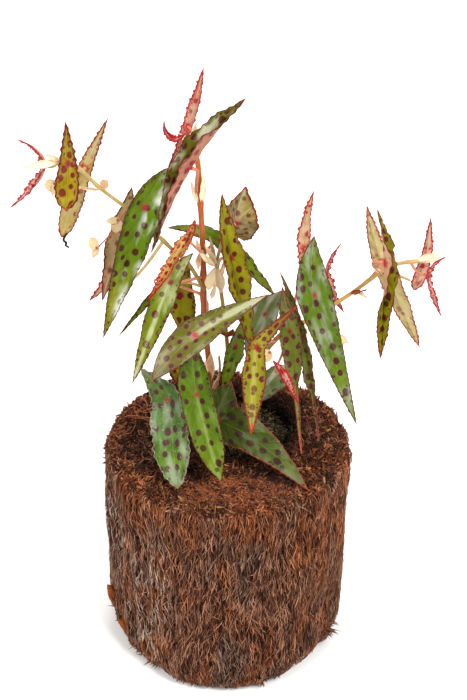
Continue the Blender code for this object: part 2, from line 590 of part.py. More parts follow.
def build():
    clear_scene()
    parts = make_collection(OBJECT_NAME)
    cutters = make_collection("cutters")
    fibre = make_material("root_fibre", (0.10, 0.035, 0.018), 0.95)
    moss = make_material("mossy_soil", (0.035, 0.035, 0.018), 0.95)
    orange_stem = make_material("orange_stem", (0.42, 0.13, 0.04), 0.5)
    ochre_stem = make_material("ochre_stem", (0.45, 0.28, 0.08), 0.5)
    green_leaf = make_material("green_leaf", (0.10, 0.26, 0.03), 0.35)
    yellow_leaf = make_material("yellow_green_leaf", (0.30, 0.34, 0.04), 0.4)
    red_leaf = make_material("young_red_leaf", (0.50, 0.12, 0.10), 0.45)
    cream = make_material("cream_tepal", (0.80, 0.70, 0.42), 0.5)

    make_pot(parts, cutters, fibre)
    stems = {"main_stem": (MAIN_ROUTE, MAIN_RADIUS), "second_stem": (SECOND_ROUTE, SECOND_RADIUS),
             "right_stem": (RIGHT_ROUTE, RIGHT_RADIUS)}
    make_soil(parts, cutters, moss, stems)
    make_stem("main_stem", [(MAIN_ROUTE, (MAIN_RADIUS, 1.3), MAIN_LEAVES, MAIN_SCALES),
                            (LEFT_ROUTE, (BRANCH_RADIUS, 0.8), LEFT_LEAVES, LEFT_SCALES)],
              MAIN_STUBS, parts, orange_stem)
    make_stem("second_stem", [(SECOND_ROUTE, (SECOND_RADIUS, 0.9), SECOND_LEAVES, SECOND_SCALES)],
              [], parts, ochre_stem)
    make_stem("right_stem", [(RIGHT_ROUTE, (RIGHT_RADIUS, 0.9), RIGHT_LEAVES, RIGHT_SCALES)],
              RIGHT_STUBS, parts, ochre_stem)
    young = {"main_leaf_01", "main_leaf_02", "main_leaf_04", "left_leaf_03", "right_leaf_03",
             "right_leaf_06", "right_leaf_07", "right_leaf_11"}
    pale = {"left_leaf_01", "left_leaf_02", "main_leaf_07", "second_leaf_01", "second_leaf_02",
            "right_leaf_02", "right_leaf_04", "right_leaf_08"}
    for group in (MAIN_LEAVES, LEFT_LEAVES, SECOND_LEAVES, RIGHT_LEAVES):
        for name, leaf in group.items():
            colour = red_leaf if name in young else yellow_leaf if name in pale else green_leaf
            strips = ACROSS if leaf["half"] > SMALL_HALF else 2
            make_blade(name, leaf, BLADE, parts, colour, strips)
    for name, flower in FLOWERS.items():
        make_flower(name, flower, parts, cream)


build()
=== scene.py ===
import math
import random

import bpy
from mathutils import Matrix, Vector, noise
from mathutils.bvhtree import BVHTree


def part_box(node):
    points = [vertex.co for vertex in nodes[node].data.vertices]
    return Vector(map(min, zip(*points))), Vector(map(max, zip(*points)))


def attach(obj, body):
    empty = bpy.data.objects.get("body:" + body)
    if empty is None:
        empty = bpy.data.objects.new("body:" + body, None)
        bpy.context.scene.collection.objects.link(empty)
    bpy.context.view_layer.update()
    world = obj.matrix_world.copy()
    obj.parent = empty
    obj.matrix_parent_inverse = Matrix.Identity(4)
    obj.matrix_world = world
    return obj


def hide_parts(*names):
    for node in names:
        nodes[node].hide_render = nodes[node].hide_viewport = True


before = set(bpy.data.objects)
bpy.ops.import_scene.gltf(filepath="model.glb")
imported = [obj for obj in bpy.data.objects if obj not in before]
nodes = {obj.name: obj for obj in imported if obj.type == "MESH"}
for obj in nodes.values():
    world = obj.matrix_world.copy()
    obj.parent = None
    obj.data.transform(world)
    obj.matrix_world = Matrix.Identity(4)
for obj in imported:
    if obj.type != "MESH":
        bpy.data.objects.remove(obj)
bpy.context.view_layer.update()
mm = 0.001
print("frame loaded:", len(nodes), "nodes")


# ways of working that every piece uses

def deselectAll():
    for thing in bpy.context.selected_objects:
        thing.select_set(False)


def pickOnly(piece):
    deselectAll()
    piece.select_set(True)
    bpy.context.view_layer.objects.active = piece


def addShape(operation, **settings):
    deselectAll()
    operation(**settings)
    return bpy.context.active_object


def applyModifiers(piece):
    pickOnly(piece)
    for modifier in list(piece.modifiers):
        bpy.ops.object.modifier_apply(modifier=modifier.name)


def weld(piece, gap=0.01, turnOut=True):
    # an open blade keeps the side that it was made with, so it isn't turned out
    pickOnly(piece)
    bpy.ops.object.mode_set(mode="EDIT")
    bpy.ops.mesh.select_all(action="SELECT")
    if gap:
        bpy.ops.mesh.remove_doubles(threshold=gap * mm)
    if turnOut:
        bpy.ops.mesh.normals_make_consistent(inside=False)
    bpy.ops.object.mode_set(mode="OBJECT")


def smooth(piece, degrees=50):
    pickOnly(piece)
    bpy.ops.object.shade_smooth_by_angle(angle=math.radians(degrees))


def handOver(piece, slotName, *replaced):
    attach(piece, "root")
    if replaced:
        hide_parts(*replaced)


def setMaterials(piece, *materials):
    piece.data.materials.clear()
    for material in materials:
        piece.data.materials.append(material)


def thicken(piece, thickness, offset, under=0):
    # a thickness in millimetres; under picks the material of the added side, and the rim keeps the first
    solidify = piece.modifiers.new("thickness", "SOLIDIFY")
    solidify.thickness = thickness * mm
    solidify.offset = offset
    solidify.material_offset = under
    solidify.material_offset_rim = 0
    applyModifiers(piece)
    smooth(piece, 60)


def addPiece(name, data):
    piece = bpy.data.objects.new(name, data)
    bpy.context.scene.collection.objects.link(piece)
    return piece


def joinPieces(name, pieces):
    deselectAll()
    for piece in pieces:
        piece.select_set(True)
    bpy.context.view_layer.objects.active = pieces[0]
    bpy.ops.object.join()
    joined = bpy.context.active_object
    joined.name = name
    return joined


def evenCopy(node, name, voxel):
    # an evenly meshed copy of a solid, to be worked over; the voxel is in millimetres
    piece = nodes[node].copy()
    piece.data = nodes[node].data.copy()
    piece.name = name
    for key in list(piece.keys()):
        del piece[key]
    bpy.context.scene.collection.objects.link(piece)
    piece.parent = None
    weld(piece, 0.005)
    remesh = piece.modifiers.new("remesh", "REMESH")
    remesh.mode = "VOXEL"
    remesh.voxel_size = voxel * mm
    applyModifiers(piece)
    return piece


# shader boards: a node tree with short ways to place and join nodes

class Amount:
    # a number that a node gives; sums and products of it make the nodes that work them out
    def __init__(self, board, socket):
        self.board = board
        self.socket = socket

    def __add__(self, other):
        return self.board.maths("ADD", self, other)

    def __radd__(self, other):
        return self.board.maths("ADD", other, self)

    def __sub__(self, other):
        return self.board.maths("SUBTRACT", self, other)

    def __rsub__(self, other):
        return self.board.maths("SUBTRACT", other, self)

    def __mul__(self, other):
        return self.board.maths("MULTIPLY", self, other)

    def __rmul__(self, other):
        return self.board.maths("MULTIPLY", other, self)

    def __rtruediv__(self, other):
        return self.board.maths("DIVIDE", other, self)


class Board:
    def __init__(self, tree):
        self.tree = tree

    def node(self, kind, **settings):
        made = self.tree.nodes.new(kind)
        for key, value in settings.items():
            setattr(made, key, value)
        return made

    def feed(self, socket, value):
        if isinstance(value, Amount):
            value = value.socket
        if isinstance(value, bpy.types.NodeSocket):
            self.tree.links.new(value, socket)
        else:
            socket.default_value = value

    def maths(self, operation, first, second=0.0, clamp=False):
        made = self.node("ShaderNodeMath", operation=operation, use_clamp=clamp)
        self.feed(made.inputs[0], first)
        self.feed(made.inputs[1], second)
        return Amount(self, made.outputs[0])

    def rise(self, value, low, high):
        # 0 below low, 1 above high, smooth between
        made = self.node("ShaderNodeMapRange", interpolation_type="SMOOTHSTEP")
        self.feed(made.inputs["Value"], value)
        self.feed(made.inputs["From Min"], low)
        self.feed(made.inputs["From Max"], high)
        return Amount(self, made.outputs["Result"])

    def fall(self, value, low, high):
        return 1.0 - self.rise(value, low, high)

    def blend(self, share, first, second):
        made = self.node("ShaderNodeMix", data_type="RGBA")
        self.feed(made.inputs["Factor"], share)
        self.feed(made.inputs[6], first)
        self.feed(made.inputs[7], second)
        return made.outputs[2]

    def shade(self, colour, amount):
        made = self.node("ShaderNodeVectorMath", operation="SCALE")
        self.feed(made.inputs[0], colour)
        self.feed(made.inputs["Scale"], amount)
        return made.outputs[0]

    def split(self, vector):
        made = self.node("ShaderNodeSeparateXYZ")
        self.feed(made.inputs[0], vector)
        return [Amount(self, socket) for socket in made.outputs]

    def merge(self, x, y, z=0.0):
        made = self.node("ShaderNodeCombineXYZ")
        for socket, value in zip(made.inputs, (x, y, z)):
            self.feed(socket, value)
        return made.outputs[0]

    def cloud(self, vector, scale, detail=2.0, rough=0.5):
        made = self.node("ShaderNodeTexNoise")
        self.feed(made.inputs["Vector"], vector)
        self.feed(made.inputs["Scale"], scale)
        made.inputs["Detail"].default_value = detail
        made.inputs["Roughness"].default_value = rough
        return Amount(self, made.outputs["Fac"])

    def stretched(self, vector, wide, tall):
        made = self.node("ShaderNodeVectorMath", operation="MULTIPLY")
        self.feed(made.inputs[0], vector)
        made.inputs[1].default_value = (wide, wide, tall)
        return made.outputs[0]

    def streaks(self, vector, wide, tall, detail=2.0, rough=0.5):
        return self.cloud(self.stretched(vector, wide, tall), 1.0, detail, rough)

    def finish(self, colour, rough, height):
        for label, value in (("colour", colour), ("rough", rough), ("height", height)):
            self.feed(self.result[label], value)
        return self.tree


skinOutputs = {"colour": "NodeSocketColor", "rough": "NodeSocketFloat", "height": "NodeSocketFloat"}


def painted(value):
    # a colour as a screen shows it, 0 to 255, less what the studio's lights brighten it by
    if not isinstance(value, tuple):
        return value
    light = [(part / 255 / 12.92) if part < 11 else ((part / 255 + 0.055) / 1.055) ** 2.4
             for part in value]
    return tuple(part / studio["brightens"] for part in light) + (1.0,)


def newSkin(name, inputs):
    # a node group that gives a surface its colour, roughness and height
    tree = bpy.data.node_groups.new(name, "ShaderNodeTree")
    for label, value in inputs.items():
        kind = "NodeSocketColor" if isinstance(value, tuple) else "NodeSocketFloat"
        socket = tree.interface.new_socket(name=label, in_out="INPUT", socket_type=kind)
        socket.default_value = painted(value)
    for label, kind in skinOutputs.items():
        tree.interface.new_socket(name=label, in_out="OUTPUT", socket_type=kind)
    board = Board(tree)
    given = board.node("NodeGroupInput").outputs
    board.result = board.node("NodeGroupOutput").inputs
    return board, {label: Amount(board, given[label]) for label in inputs}


def newMaterial(name, skin, relief, shine, values):
    # a Principled material whose colour, roughness and bump come from a skin
    material = bpy.data.materials.new(name)
    material.use_nodes = True
    board = Board(material.node_tree)
    shader = material.node_tree.nodes["Principled BSDF"]
    group = board.node("ShaderNodeGroup", node_tree=skin)
    for label, value in values.items():
        group.inputs[label].default_value = painted(value)
    bump = board.node("ShaderNodeBump")
    bump.inputs["Distance"].default_value = relief * mm
    board.feed(bump.inputs["Height"], group.outputs["height"])
    board.feed(shader.inputs["Base Color"], group.outputs["colour"])
    board.feed(shader.inputs["Roughness"], group.outputs["rough"])
    board.feed(shader.inputs["Normal"], bump.outputs["Normal"])
    shader.inputs["Specular IOR Level"].default_value = shine
    return material


def newMaterials(skin, shine, looks):
    # each look: how deep its relief is, in millimetres, and where it differs from its skin
    return {name: newMaterial(name, skin, relief, shine, values)
            for name, (relief, values) in looks.items()}


# camera and lights

studio = {
    "eye": (0.003, -0.5865, 0.5207), "tilt": 58.5, "lens": 74.57,
    "floor": 3.0, "floorColour": (0.96, 0.96, 0.95, 1.0), "brightens": 1.33,
    "world": (1.0, 0.99, 0.97), "worldStrength": 0.62,
}
# each soft box: where it stands, where it points, its width and its power
softBoxes = {
    "keyBox": ((0.75, -0.95, 1.45), (0.0, 0.0, 0.13), 0.7, 30.0),
    "leftBox": ((-1.0, -0.8, 1.2), (0.0, 0.0, 0.12), 0.9, 16.0),
    "backBox": ((0.2, 1.2, 1.4), (0.0, 0.0, 0.2), 1.0, 14.0),
}


def setUpStudio():
    camera = bpy.data.cameras.new("camera")
    camera.lens = studio["lens"]
    eye = addPiece("camera", camera)
    eye.location = studio["eye"]
    eye.rotation_euler = (math.radians(studio["tilt"]), 0, 0)
    bpy.context.scene.camera = eye
    for name, (place, target, width, power) in softBoxes.items():
        light = bpy.data.lights.new(name, "AREA")
        light.shape = "DISK"
        light.size = width
        light.energy = power
        lamp = addPiece(name, light)
        lamp.location = place
        lamp.rotation_euler = (Vector(target) - Vector(place)).to_track_quat("-Z", "Y").to_euler()
    world = bpy.data.worlds.new("studio")
    world.use_nodes = True
    sky = world.node_tree.nodes["Background"]
    sky.inputs["Color"].default_value = (*studio["world"], 1.0)
    sky.inputs["Strength"].default_value = studio["worldStrength"]
    bpy.context.scene.world = world
    bpy.context.scene.view_settings.view_transform = "Standard"
    floor = addShape(bpy.ops.mesh.primitive_plane_add, size=2 * studio["floor"])
    floor.name = "floor"
    material = bpy.data.materials.new("floor")
    material.use_nodes = True
    shader = material.node_tree.nodes["Principled BSDF"]
    shader.inputs["Base Color"].default_value = studio["floorColour"]
    shader.inputs["Roughness"].default_value = 0.9
    setMaterials(floor, material)


setUpStudio()
print("studio ready")


# the block of root fibre

def makeFibreSkin():
    # each strand has its own tint; there are brown, rusty and slate patches, and a pale bloom on the left
    board, given = newSkin("fibreSkin", {
        "gap": (42, 24, 15), "dark": (120, 74, 54), "light": (202, 146, 114), "rustDark": (136, 72, 40),
        "rustLight": (218, 136, 86), "rustShare": 0.8, "slateDark": (92, 71, 59),
        "slateLight": (170, 144, 124), "slateShare": 0.75, "bloom": (224, 210, 192),
        "bloomShare": 0.9,
    })
    place = board.node("ShaderNodeTexCoord").outputs["Object"]
    streak = board.streaks(place, 1200, 160, 3.0, 0.6)
    grain = board.streaks(place, 2600, 700, 2.0)
    strand = board.node("ShaderNodeAttribute", attribute_name="tint").outputs["Fac"]
    # the lowest tints, mostly on strands that lie deep, take the near-black gap colour as painted shade
    tint = board.maths("ADD", strand, (streak - 0.5) * 0.5, True)
    low, high = board.rise(tint, 0.02, 0.42), board.rise(tint, 0.38, 1.0)
    brown, rust, slate = (board.blend(high, board.blend(low, given["gap"], given[dark]), given[light])
                          for dark, light in (("dark", "light"), ("rustDark", "rustLight"),
                                              ("slateDark", "slateLight")))
    patch = board.streaks(place, 60, 30, 3.0, 0.6)
    stone = board.streaks(place, 52, 22, 3.0, 0.6)
    colour = board.blend(board.rise(patch, 0.44, 0.6) * given["rustShare"], brown, rust)
    colour = board.blend(board.rise(stone, 0.5, 0.66) * given["slateShare"], colour, slate)
    colour = board.shade(colour, 0.7 + grain * 0.6)
    # the bloom lies in upright patches on the outermost strands
    bloomMask = None
    for (x, y, z), (wide, tall) in bloomPatches.items():
        offset = board.node("ShaderNodeVectorMath", operation="SUBTRACT")
        board.feed(offset.inputs[0], place)
        offset.inputs[1].default_value = (x, y, z)
        length = board.node("ShaderNodeVectorMath", operation="LENGTH")
        board.feed(length.inputs[0], board.stretched(offset.outputs[0], wide, tall))
        near = board.fall(length.outputs["Value"], 0.3, 1.1)
        bloomMask = near if bloomMask is None else board.maths("MAXIMUM", bloomMask, near)
    flecks = board.rise(board.streaks(place, 420, 110, 3.0, 0.65), 0.42, 0.58)
    flecks = flecks * board.rise(strand, 0.4, 0.75)
    bloomMask = bloomMask * flecks * given["bloomShare"]
    colour = board.blend(bloomMask, colour, given["bloom"])
    return board.finish(colour, 0.66 + grain * 0.3, grain)


bloomPatches = {(-0.054, -0.024, 0.066): (56, 24), (-0.040, -0.043, 0.034): (60, 22),
                (-0.034, -0.050, 0.060): (80, 26)}
fibreSkin = makeFibreSkin()
noBloom = {"bloomShare": 0.0}
fibreShine = 0.12
fibres = newMaterials(fibreSkin, fibreShine, {
    "sideFibre": (0.2, {}),
    # the core: near black, as painted shade in the gaps between strands
    "coreFibre": (0.4, {"dark": (40, 22, 14), "light": (76, 46, 32), **noBloom}),
    "topFibre": (0.2, {"dark": (74, 40, 26), "light": (186, 122, 82), "rustShare": 0.7,
        "slateShare": 0.4, **noBloom}),
    "shelfFibre": (0.2, {"gap": (70, 34, 20), "dark": (116, 62, 38), "light": (174, 106, 68),
        "rustShare": 0.5, "rustDark": (124, 60, 34), "slateShare": 0.0, **noBloom}),
    "crumbFibre": (0.3, {"gap": (52, 29, 19), "dark": (96, 56, 38), "light": (160, 108, 76),
        **noBloom}),
    # the chips' orange is brighter than their own colour: painted light that makes up for the shade on
    # their left-facing sides
    "chipWood": (0.5, {"gap": (150, 76, 24), "dark": (206, 112, 36), "light": (244, 164, 84),
        "rustShare": 0.0, "slateShare": 0.2, **noBloom}),
    "paleWood": (0.3, {"gap": (160, 120, 76), "dark": (206, 170, 120), "light": (240, 220, 180),
        "rustShare": 0.0, "slateShare": 0.2, **noBloom}),
    # the hole's wall: dark moss, and near black as painted shade inside the hole
    "wallFibre": (0.2, {"gap": (8, 6, 4), "dark": (30, 22, 13), "light": (92, 72, 44),
        "rustDark": (44, 28, 14), "rustLight": (110, 74, 40), "rustShare": 0.5,
        "slateDark": (34, 34, 20), "slateLight": (96, 92, 48), "slateShare": 0.6, **noBloom}),
})

potTree = BVHTree.FromObject(nodes["pot"], bpy.context.evaluated_depsgraph_get())
soilTree = BVHTree.FromObject(nodes["soil"], bpy.context.evaluated_depsgraph_get())
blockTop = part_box("pot")[1].z / mm
far = 0.2
up, down = Vector((0, 0, 1)), Vector((0, 0, -1))


def outward(angle):
    return Vector((math.cos(angle), math.sin(angle), 0))


def spotOn(dice, inner, outer):
    # a spot on a round face; the inner share of the face's area stays free
    angle = dice.uniform(-math.pi, math.pi)
    reach = math.sqrt(dice.uniform(inner, 1)) * outer
    return reach * math.cos(angle), reach * math.sin(angle)


def sideRadius(angle, height):
    # how far the block's side is from its axis there, in millimetres
    way = outward(angle)
    start = way * far + Vector((0, 0, height * mm))
    found = potTree.ray_cast(start, -way)[0]
    return math.hypot(found.x, found.y) / mm if found else None


def topHeight(x, y, tree=potTree):
    found = tree.ray_cast(Vector((x * mm, y * mm, far)), down)[0]
    return found.z / mm if found else None


def growStrands(name, strands, material, sides=0):
    # each strand: points in millimetres, and a radius for each point
    curve = bpy.data.curves.new(name, "CURVE")
    curve.dimensions = "3D"
    curve.bevel_depth = mm
    curve.bevel_resolution = sides
    curve.use_fill_caps = True
    for points, radii in strands:
        spline = curve.splines.new("POLY")
        spline.points.add(len(points) - 1)
        for knot, place, radius in zip(spline.points, points, radii):
            knot.co = (*(Vector(place) * mm), 1.0)
            knot.radius = radius
    piece = addPiece(name, curve)
    pickOnly(piece)
    bpy.ops.object.convert(target="MESH")
    weld(piece)
    smooth(piece, 80)
    setMaterials(piece, material)
    return piece


def smoothstep(value, low, high):
    share = min(1.0, max(0.0, (value - low) / (high - low)))
    return share * share * (3 - 2 * share)


def growFibres(name, strands, material, slot="root_fibre"):
    # each strand: points in millimetres, its thickest radius, and its tint at the two ends
    dice = random.Random(name)
    verts, faces, tints = [], [], []
    for points, thick, tintStart, tintEnd in strands:
        points = [Vector(point) for point in points]
        first, last = len(verts), len(points) - 1
        turn = dice.uniform(0, 6.28)
        for index, point in enumerate(points):
            part = index / last
            tint = tintStart + (tintEnd - tintStart) * part
            if index in (0, last):
                verts.append(point * mm)
                tints.append(tint)
                continue
            ahead = (points[index + 1] - points[index - 1]).normalized()
            side = ahead.orthogonal().normalized()
            lift = ahead.cross(side)
            radius = thick * (1 - 0.5 * (2 * part - 1) ** 2)
            for corner in range(3):
                angle = turn + corner * math.tau / 3
                verts.append((point + (side * math.cos(angle) + lift * math.sin(angle)) * radius) * mm)
                tints.append(tint)
        rings = last - 1
        for corner in range(3):
            after = (corner + 1) % 3
            faces.append((first, first + 1 + after, first + 1 + corner))
            for ring in range(rings - 1):
                low, high = first + 1 + 3 * ring, first + 4 + 3 * ring
                faces.append((low + corner, low + after, high + after, high + corner))
            top = first + 1 + 3 * (rings - 1)
            faces.append((top + corner, top + after, first + 1 + 3 * rings))
    mesh = bpy.data.meshes.new(name)
    mesh.from_pydata(verts, [], faces)
    mesh.attributes.new("tint", "FLOAT", "POINT").data.foreach_set("value", tints)
    piece = addPiece(name, mesh)
    weld(piece, 0)
    smooth(piece, 80)
    setMaterials(piece, material)
    handOver(piece, slot)
    print(name, len(strands), sum(len(face) - 2 for face in faces))


core = {"voxel": 1.5, "inset": 1.5, "ridge": 1.2, "ridgeCount": 120, "crumb": 1.5, "rimDrop": 3.5,
        "rimWidth": 7.0, "sideFrom": 52, "topDepth": 9, "middle": 20}
hole = {"x": 4.0, "y": 12.0, "radius": 28.0}
shelf = {"x": 3.0, "y": -42.0, "wide": 30.0, "deep": 12.0}


def fromHole(x, y):
    # how far a spot is outside the planting hole's edge
    return math.hypot(x - hole["x"], y - hole["y"]) - hole["radius"]


def shelfShare(x, y):
    # 1 in the middle of the smooth shelf in front of the hole, 0 well outside it
    away = math.hypot((x - shelf["x"]) / shelf["wide"], (y - shelf["y"]) / shelf["deep"])
    return min(1.0, max(0.0, (1.25 - away) / 0.5))


def makeCore():
    # the imported inside of the block, seen in the gaps between the outer strands; its near-black colour
    # is painted shade in those gaps
    piece = evenCopy("pot", "fibreCore", core["voxel"])
    for vert in piece.data.vertices:
        place = vert.co / mm
        radius, angle = math.hypot(place.x, place.y), math.atan2(place.y, place.x)
        if radius > core["sideFrom"] and place.z > 1:
            around = outward(angle) * core["ridgeCount"] / 6
            ridge = noise.noise(around + Vector((0, 0, place.z / 14)))
            scale = (radius - core["inset"] + core["ridge"] * ridge) / radius
            place.x, place.y = place.x * scale, place.y * scale
        if place.z > blockTop - core["topDepth"] and radius > core["middle"]:
            lump = noise.noise(place / 5.2) + 0.7 * noise.noise(place / 2.2)
            lump += 0.3 * noise.noise(place / 1.1)
            calm = 1 - 0.85 * shelfShare(place.x, place.y)
            place.z += core["crumb"] * (lump * calm - 0.6)
            rim = max(0.0, fromHole(place.x, place.y) / core["rimWidth"])
            place.z -= core["rimDrop"] * max(0.0, 1 - rim) ** 2
        vert.co = place * mm
    smooth(piece, 60)
    setMaterials(piece, fibres["coreFibre"])
    handOver(piece, "root_fibre", "pot")


sideForm = {
    # each layer: how many strands, how deep they lie, how dark or pale they are, how thick and how unruly;
    # the deeper a layer lies, the darker it is, as painted shade in the gaps between strands
    "layers": {"sideStrandsDeep": (8600, (-1.7, -0.8), (0.05, 0.35), 1.0, 0.17),
               "sideStrandsMiddle": (9000, (-1.0, -0.2), (0.12, 0.6), 1.0, 0.17),
               "sideStrandsOuter": (8600, (-0.5, 0.5), (0.15, 0.8), 1.0, 0.17),
               "sideStrandsFine": (9600, (-0.1, 0.6), (0.1, 0.95), 0.6, 0.4)},
    "length": (3.5, 12.0), "radius": (0.15, 0.3), "step": 2.3, "bottom": 0.5, "edge": 54.5, "flow": 0.45,
    "bow": 0.3, "loose": (0.0, 0.0, 0.0, 1.4), "paleShare": 0.05,
}


def sideStrand(dice, angle, middle, length, heading, bend, depth, loose=0.0):
    # the points of one root on the block's side, given by its middle; a loose one's lower end stands off
    seed = dice.uniform(0, 99)
    count = max(3, round(length / sideForm["step"]))
    points = []
    for index in range(count + 1):
        part = index / count - 0.5
        way = heading + bend * part
        height = middle - length * part * math.cos(way)
        if height > blockTop - 1.5 or height < sideForm["bottom"]:
            continue
        sway = 0.5 * noise.noise(Vector((seed, height / 2.5, 0)))
        here = angle + (length * part * math.sin(way) + sway) / 60
        radius = sideRadius(here, height)
        if radius is None or radius < sideForm["edge"]:
            continue
        out = depth + 0.4 * noise.noise(Vector((seed, height / 3, 9))) + loose * max(0.0, part)
        points.append(((radius + out) * math.cos(here), (radius + out) * math.sin(here), height))
    return points


def makeSideStrands():
    # four layers of roots run down the side, clumped and a little bent
    dice = random.Random(41)
    for name, (count, (deep, high), (dim, bright), thickness, stray) in sideForm["layers"].items():
        strands = []
        for _ in range(count):
            angle = dice.uniform(-math.pi, math.pi)
            middle = dice.uniform(sideForm["bottom"], blockTop - 1)
            around = Vector((math.cos(angle), math.sin(angle), middle / 38)) * 2.2
            heading = sideForm["flow"] * noise.noise(around) + dice.gauss(0, stray)
            clump = noise.noise(around * 5.0)
            low, long = sideForm["length"]
            length = low + (long - low) * dice.random() ** 1.5
            bend, depth = dice.gauss(0, sideForm["bow"]), dice.uniform(deep, high)
            loose = dice.choice(sideForm["loose"])
            points = sideStrand(dice, angle, middle, length, heading, bend, depth, loose)
            if len(points) > 2:
                tint = dice.uniform(dim, bright) + 0.3 * clump
                # a few strands are much paler: pale fibres that also serve as painted highlights
                if dice.random() < sideForm["paleShare"]:
                    tint += 0.5
                strands.append((points, thickness * dice.uniform(*sideForm["radius"]), tint,
                                tint - dice.uniform(-0.2, 0.2)))
        growFibres(name, strands, fibres["sideFibre"])


edgeForm = {
    "footEnds": 700, "foot": (0.5, 4.5), "footLength": (3, 8),
    "rimEnds": 1500, "rim": (52.5, 59.5), "rimReach": (1.6, 4.2), "floorGap": 0.6,
    # each tuft: its angle, its lowest and highest root, how many ends and how far they reach
    "tufts": ((-0.56, 12, 19, 34, 8.5), (-3.0, 103, 106, 8, 5.0), (-2.45, 2, 9, 26, 5.0),
              (-2.8, 8, 30, 14, 3.5), (-2.25, 2, 5, 26, 4.5), (-1.85, 2, 5, 24, 4.0),
              (-1.3, 2, 5, 24, 3.5), (-2.0, 2, 6, 16, 3.5)),
}


def makeRaggedEnds():
    # broken root ends that hang from the foot and stand up round the rim
    dice = random.Random(23)
    strands = []
    for _ in range(edgeForm["footEnds"]):
        angle = dice.uniform(-math.pi, math.pi)
        length, foot = dice.uniform(*edgeForm["footLength"]), dice.uniform(*edgeForm["foot"])
        clump = max(0.0, noise.noise(outward(angle) * 9)) * 5
        heading, bend, depth = dice.gauss(0, 0.35), dice.gauss(0, 0.5), dice.uniform(-0.2, 0.4)
        loose = dice.uniform(0.3, 1.6) + clump
        points = sideStrand(dice, angle, foot + length / 2, length, heading, bend, depth, loose)
        tint = dice.uniform(0.1, 0.8)
        strands.append((points, dice.uniform(0.3, 0.5), tint, tint))
    for _ in range(edgeForm["rimEnds"]):
        angle = dice.uniform(-math.pi, math.pi)
        way = outward(angle)
        radius = dice.uniform(*edgeForm["rim"])
        level = topHeight(way.x * radius, way.y * radius)
        if level is None:
            continue
        start = way * radius + up * (level - 1.2)
        side = way.cross(up) * dice.gauss(0, 0.6)
        reach = dice.uniform(*edgeForm["rimReach"])
        lean = way * dice.uniform(-0.1, 0.7) if radius > 56 else way * dice.uniform(-0.6, 0.6)
        tip = start + (lean + side + Vector((0, 0, dice.uniform(0.1, 0.8)))) * reach
        tip.z = min(tip.z, blockTop + 2.6)
        tint = dice.uniform(0.05, 0.9)
        points = [start, start.lerp(tip, 0.3) + Vector((0, 0, 0.2)), start.lerp(tip, 0.75), tip]
        strands.append((points, dice.uniform(0.28, 0.5), 0.5 * tint, tint + 0.15))
    # tufts of longer ends, most of them at the foot
    for angle, low, high, count, reach in edgeForm["tufts"]:
        for _ in range(count):
            here = angle + dice.gauss(0, 0.035)
            height = dice.uniform(low, high)
            radius = sideRadius(here, height)
            way = outward(here)
            start = way * (radius - 1) + Vector((0, 0, height))
            stray = Vector((dice.gauss(0, 0.25), dice.gauss(0, 0.25), dice.gauss(0, 0.3)))
            tip = start + (way + stray) * dice.uniform(0.5, 1.0) * reach
            tip.z = max(tip.z, edgeForm["floorGap"])
            middle = start.lerp(tip, 0.5) + Vector((0, 0, dice.gauss(0, 0.5)))
            points = [start, start.lerp(middle, 0.6), middle, tip]
            strands.append((points, dice.uniform(0.3, 0.5), 0.3, 0.6))
    growFibres("raggedEnds", [strand for strand in strands if len(strand[0]) > 2], fibres["sideFibre"])


topForm = {"count": 11000, "length": (1.6, 5.0), "radius": (0.22, 0.44), "outer": 59.5,
           "shelfCount": 3600, "crumbs": 900, "crumbSize": (0.35, 1.0), "crumbReach": 59, "crumbsFrom": 95,
           "longCount": 44, "step": 4, "edge": 61, "shortLength": (0.9, 2.6), "longLength": (9, 20)}


def topStrand(x, y, length, heading, bend, tilt, knots=4):
    # the points of one root end that lies on the top; its far end stands up by the tilt
    points = []
    level = topHeight(x, y)
    for index in range(knots):
        part = index / (knots - 1)
        way = heading + bend * part
        px, py = x + length * (part - 0.5) * math.cos(way), y + length * (part - 0.5) * math.sin(way)
        ground = topHeight(px, py)
        if ground is None or ground < level - topForm["step"] or math.hypot(px, py) > topForm["edge"]:
            break
        points.append((px, py, min(ground, level + 1) + length * tilt * part))
    return points


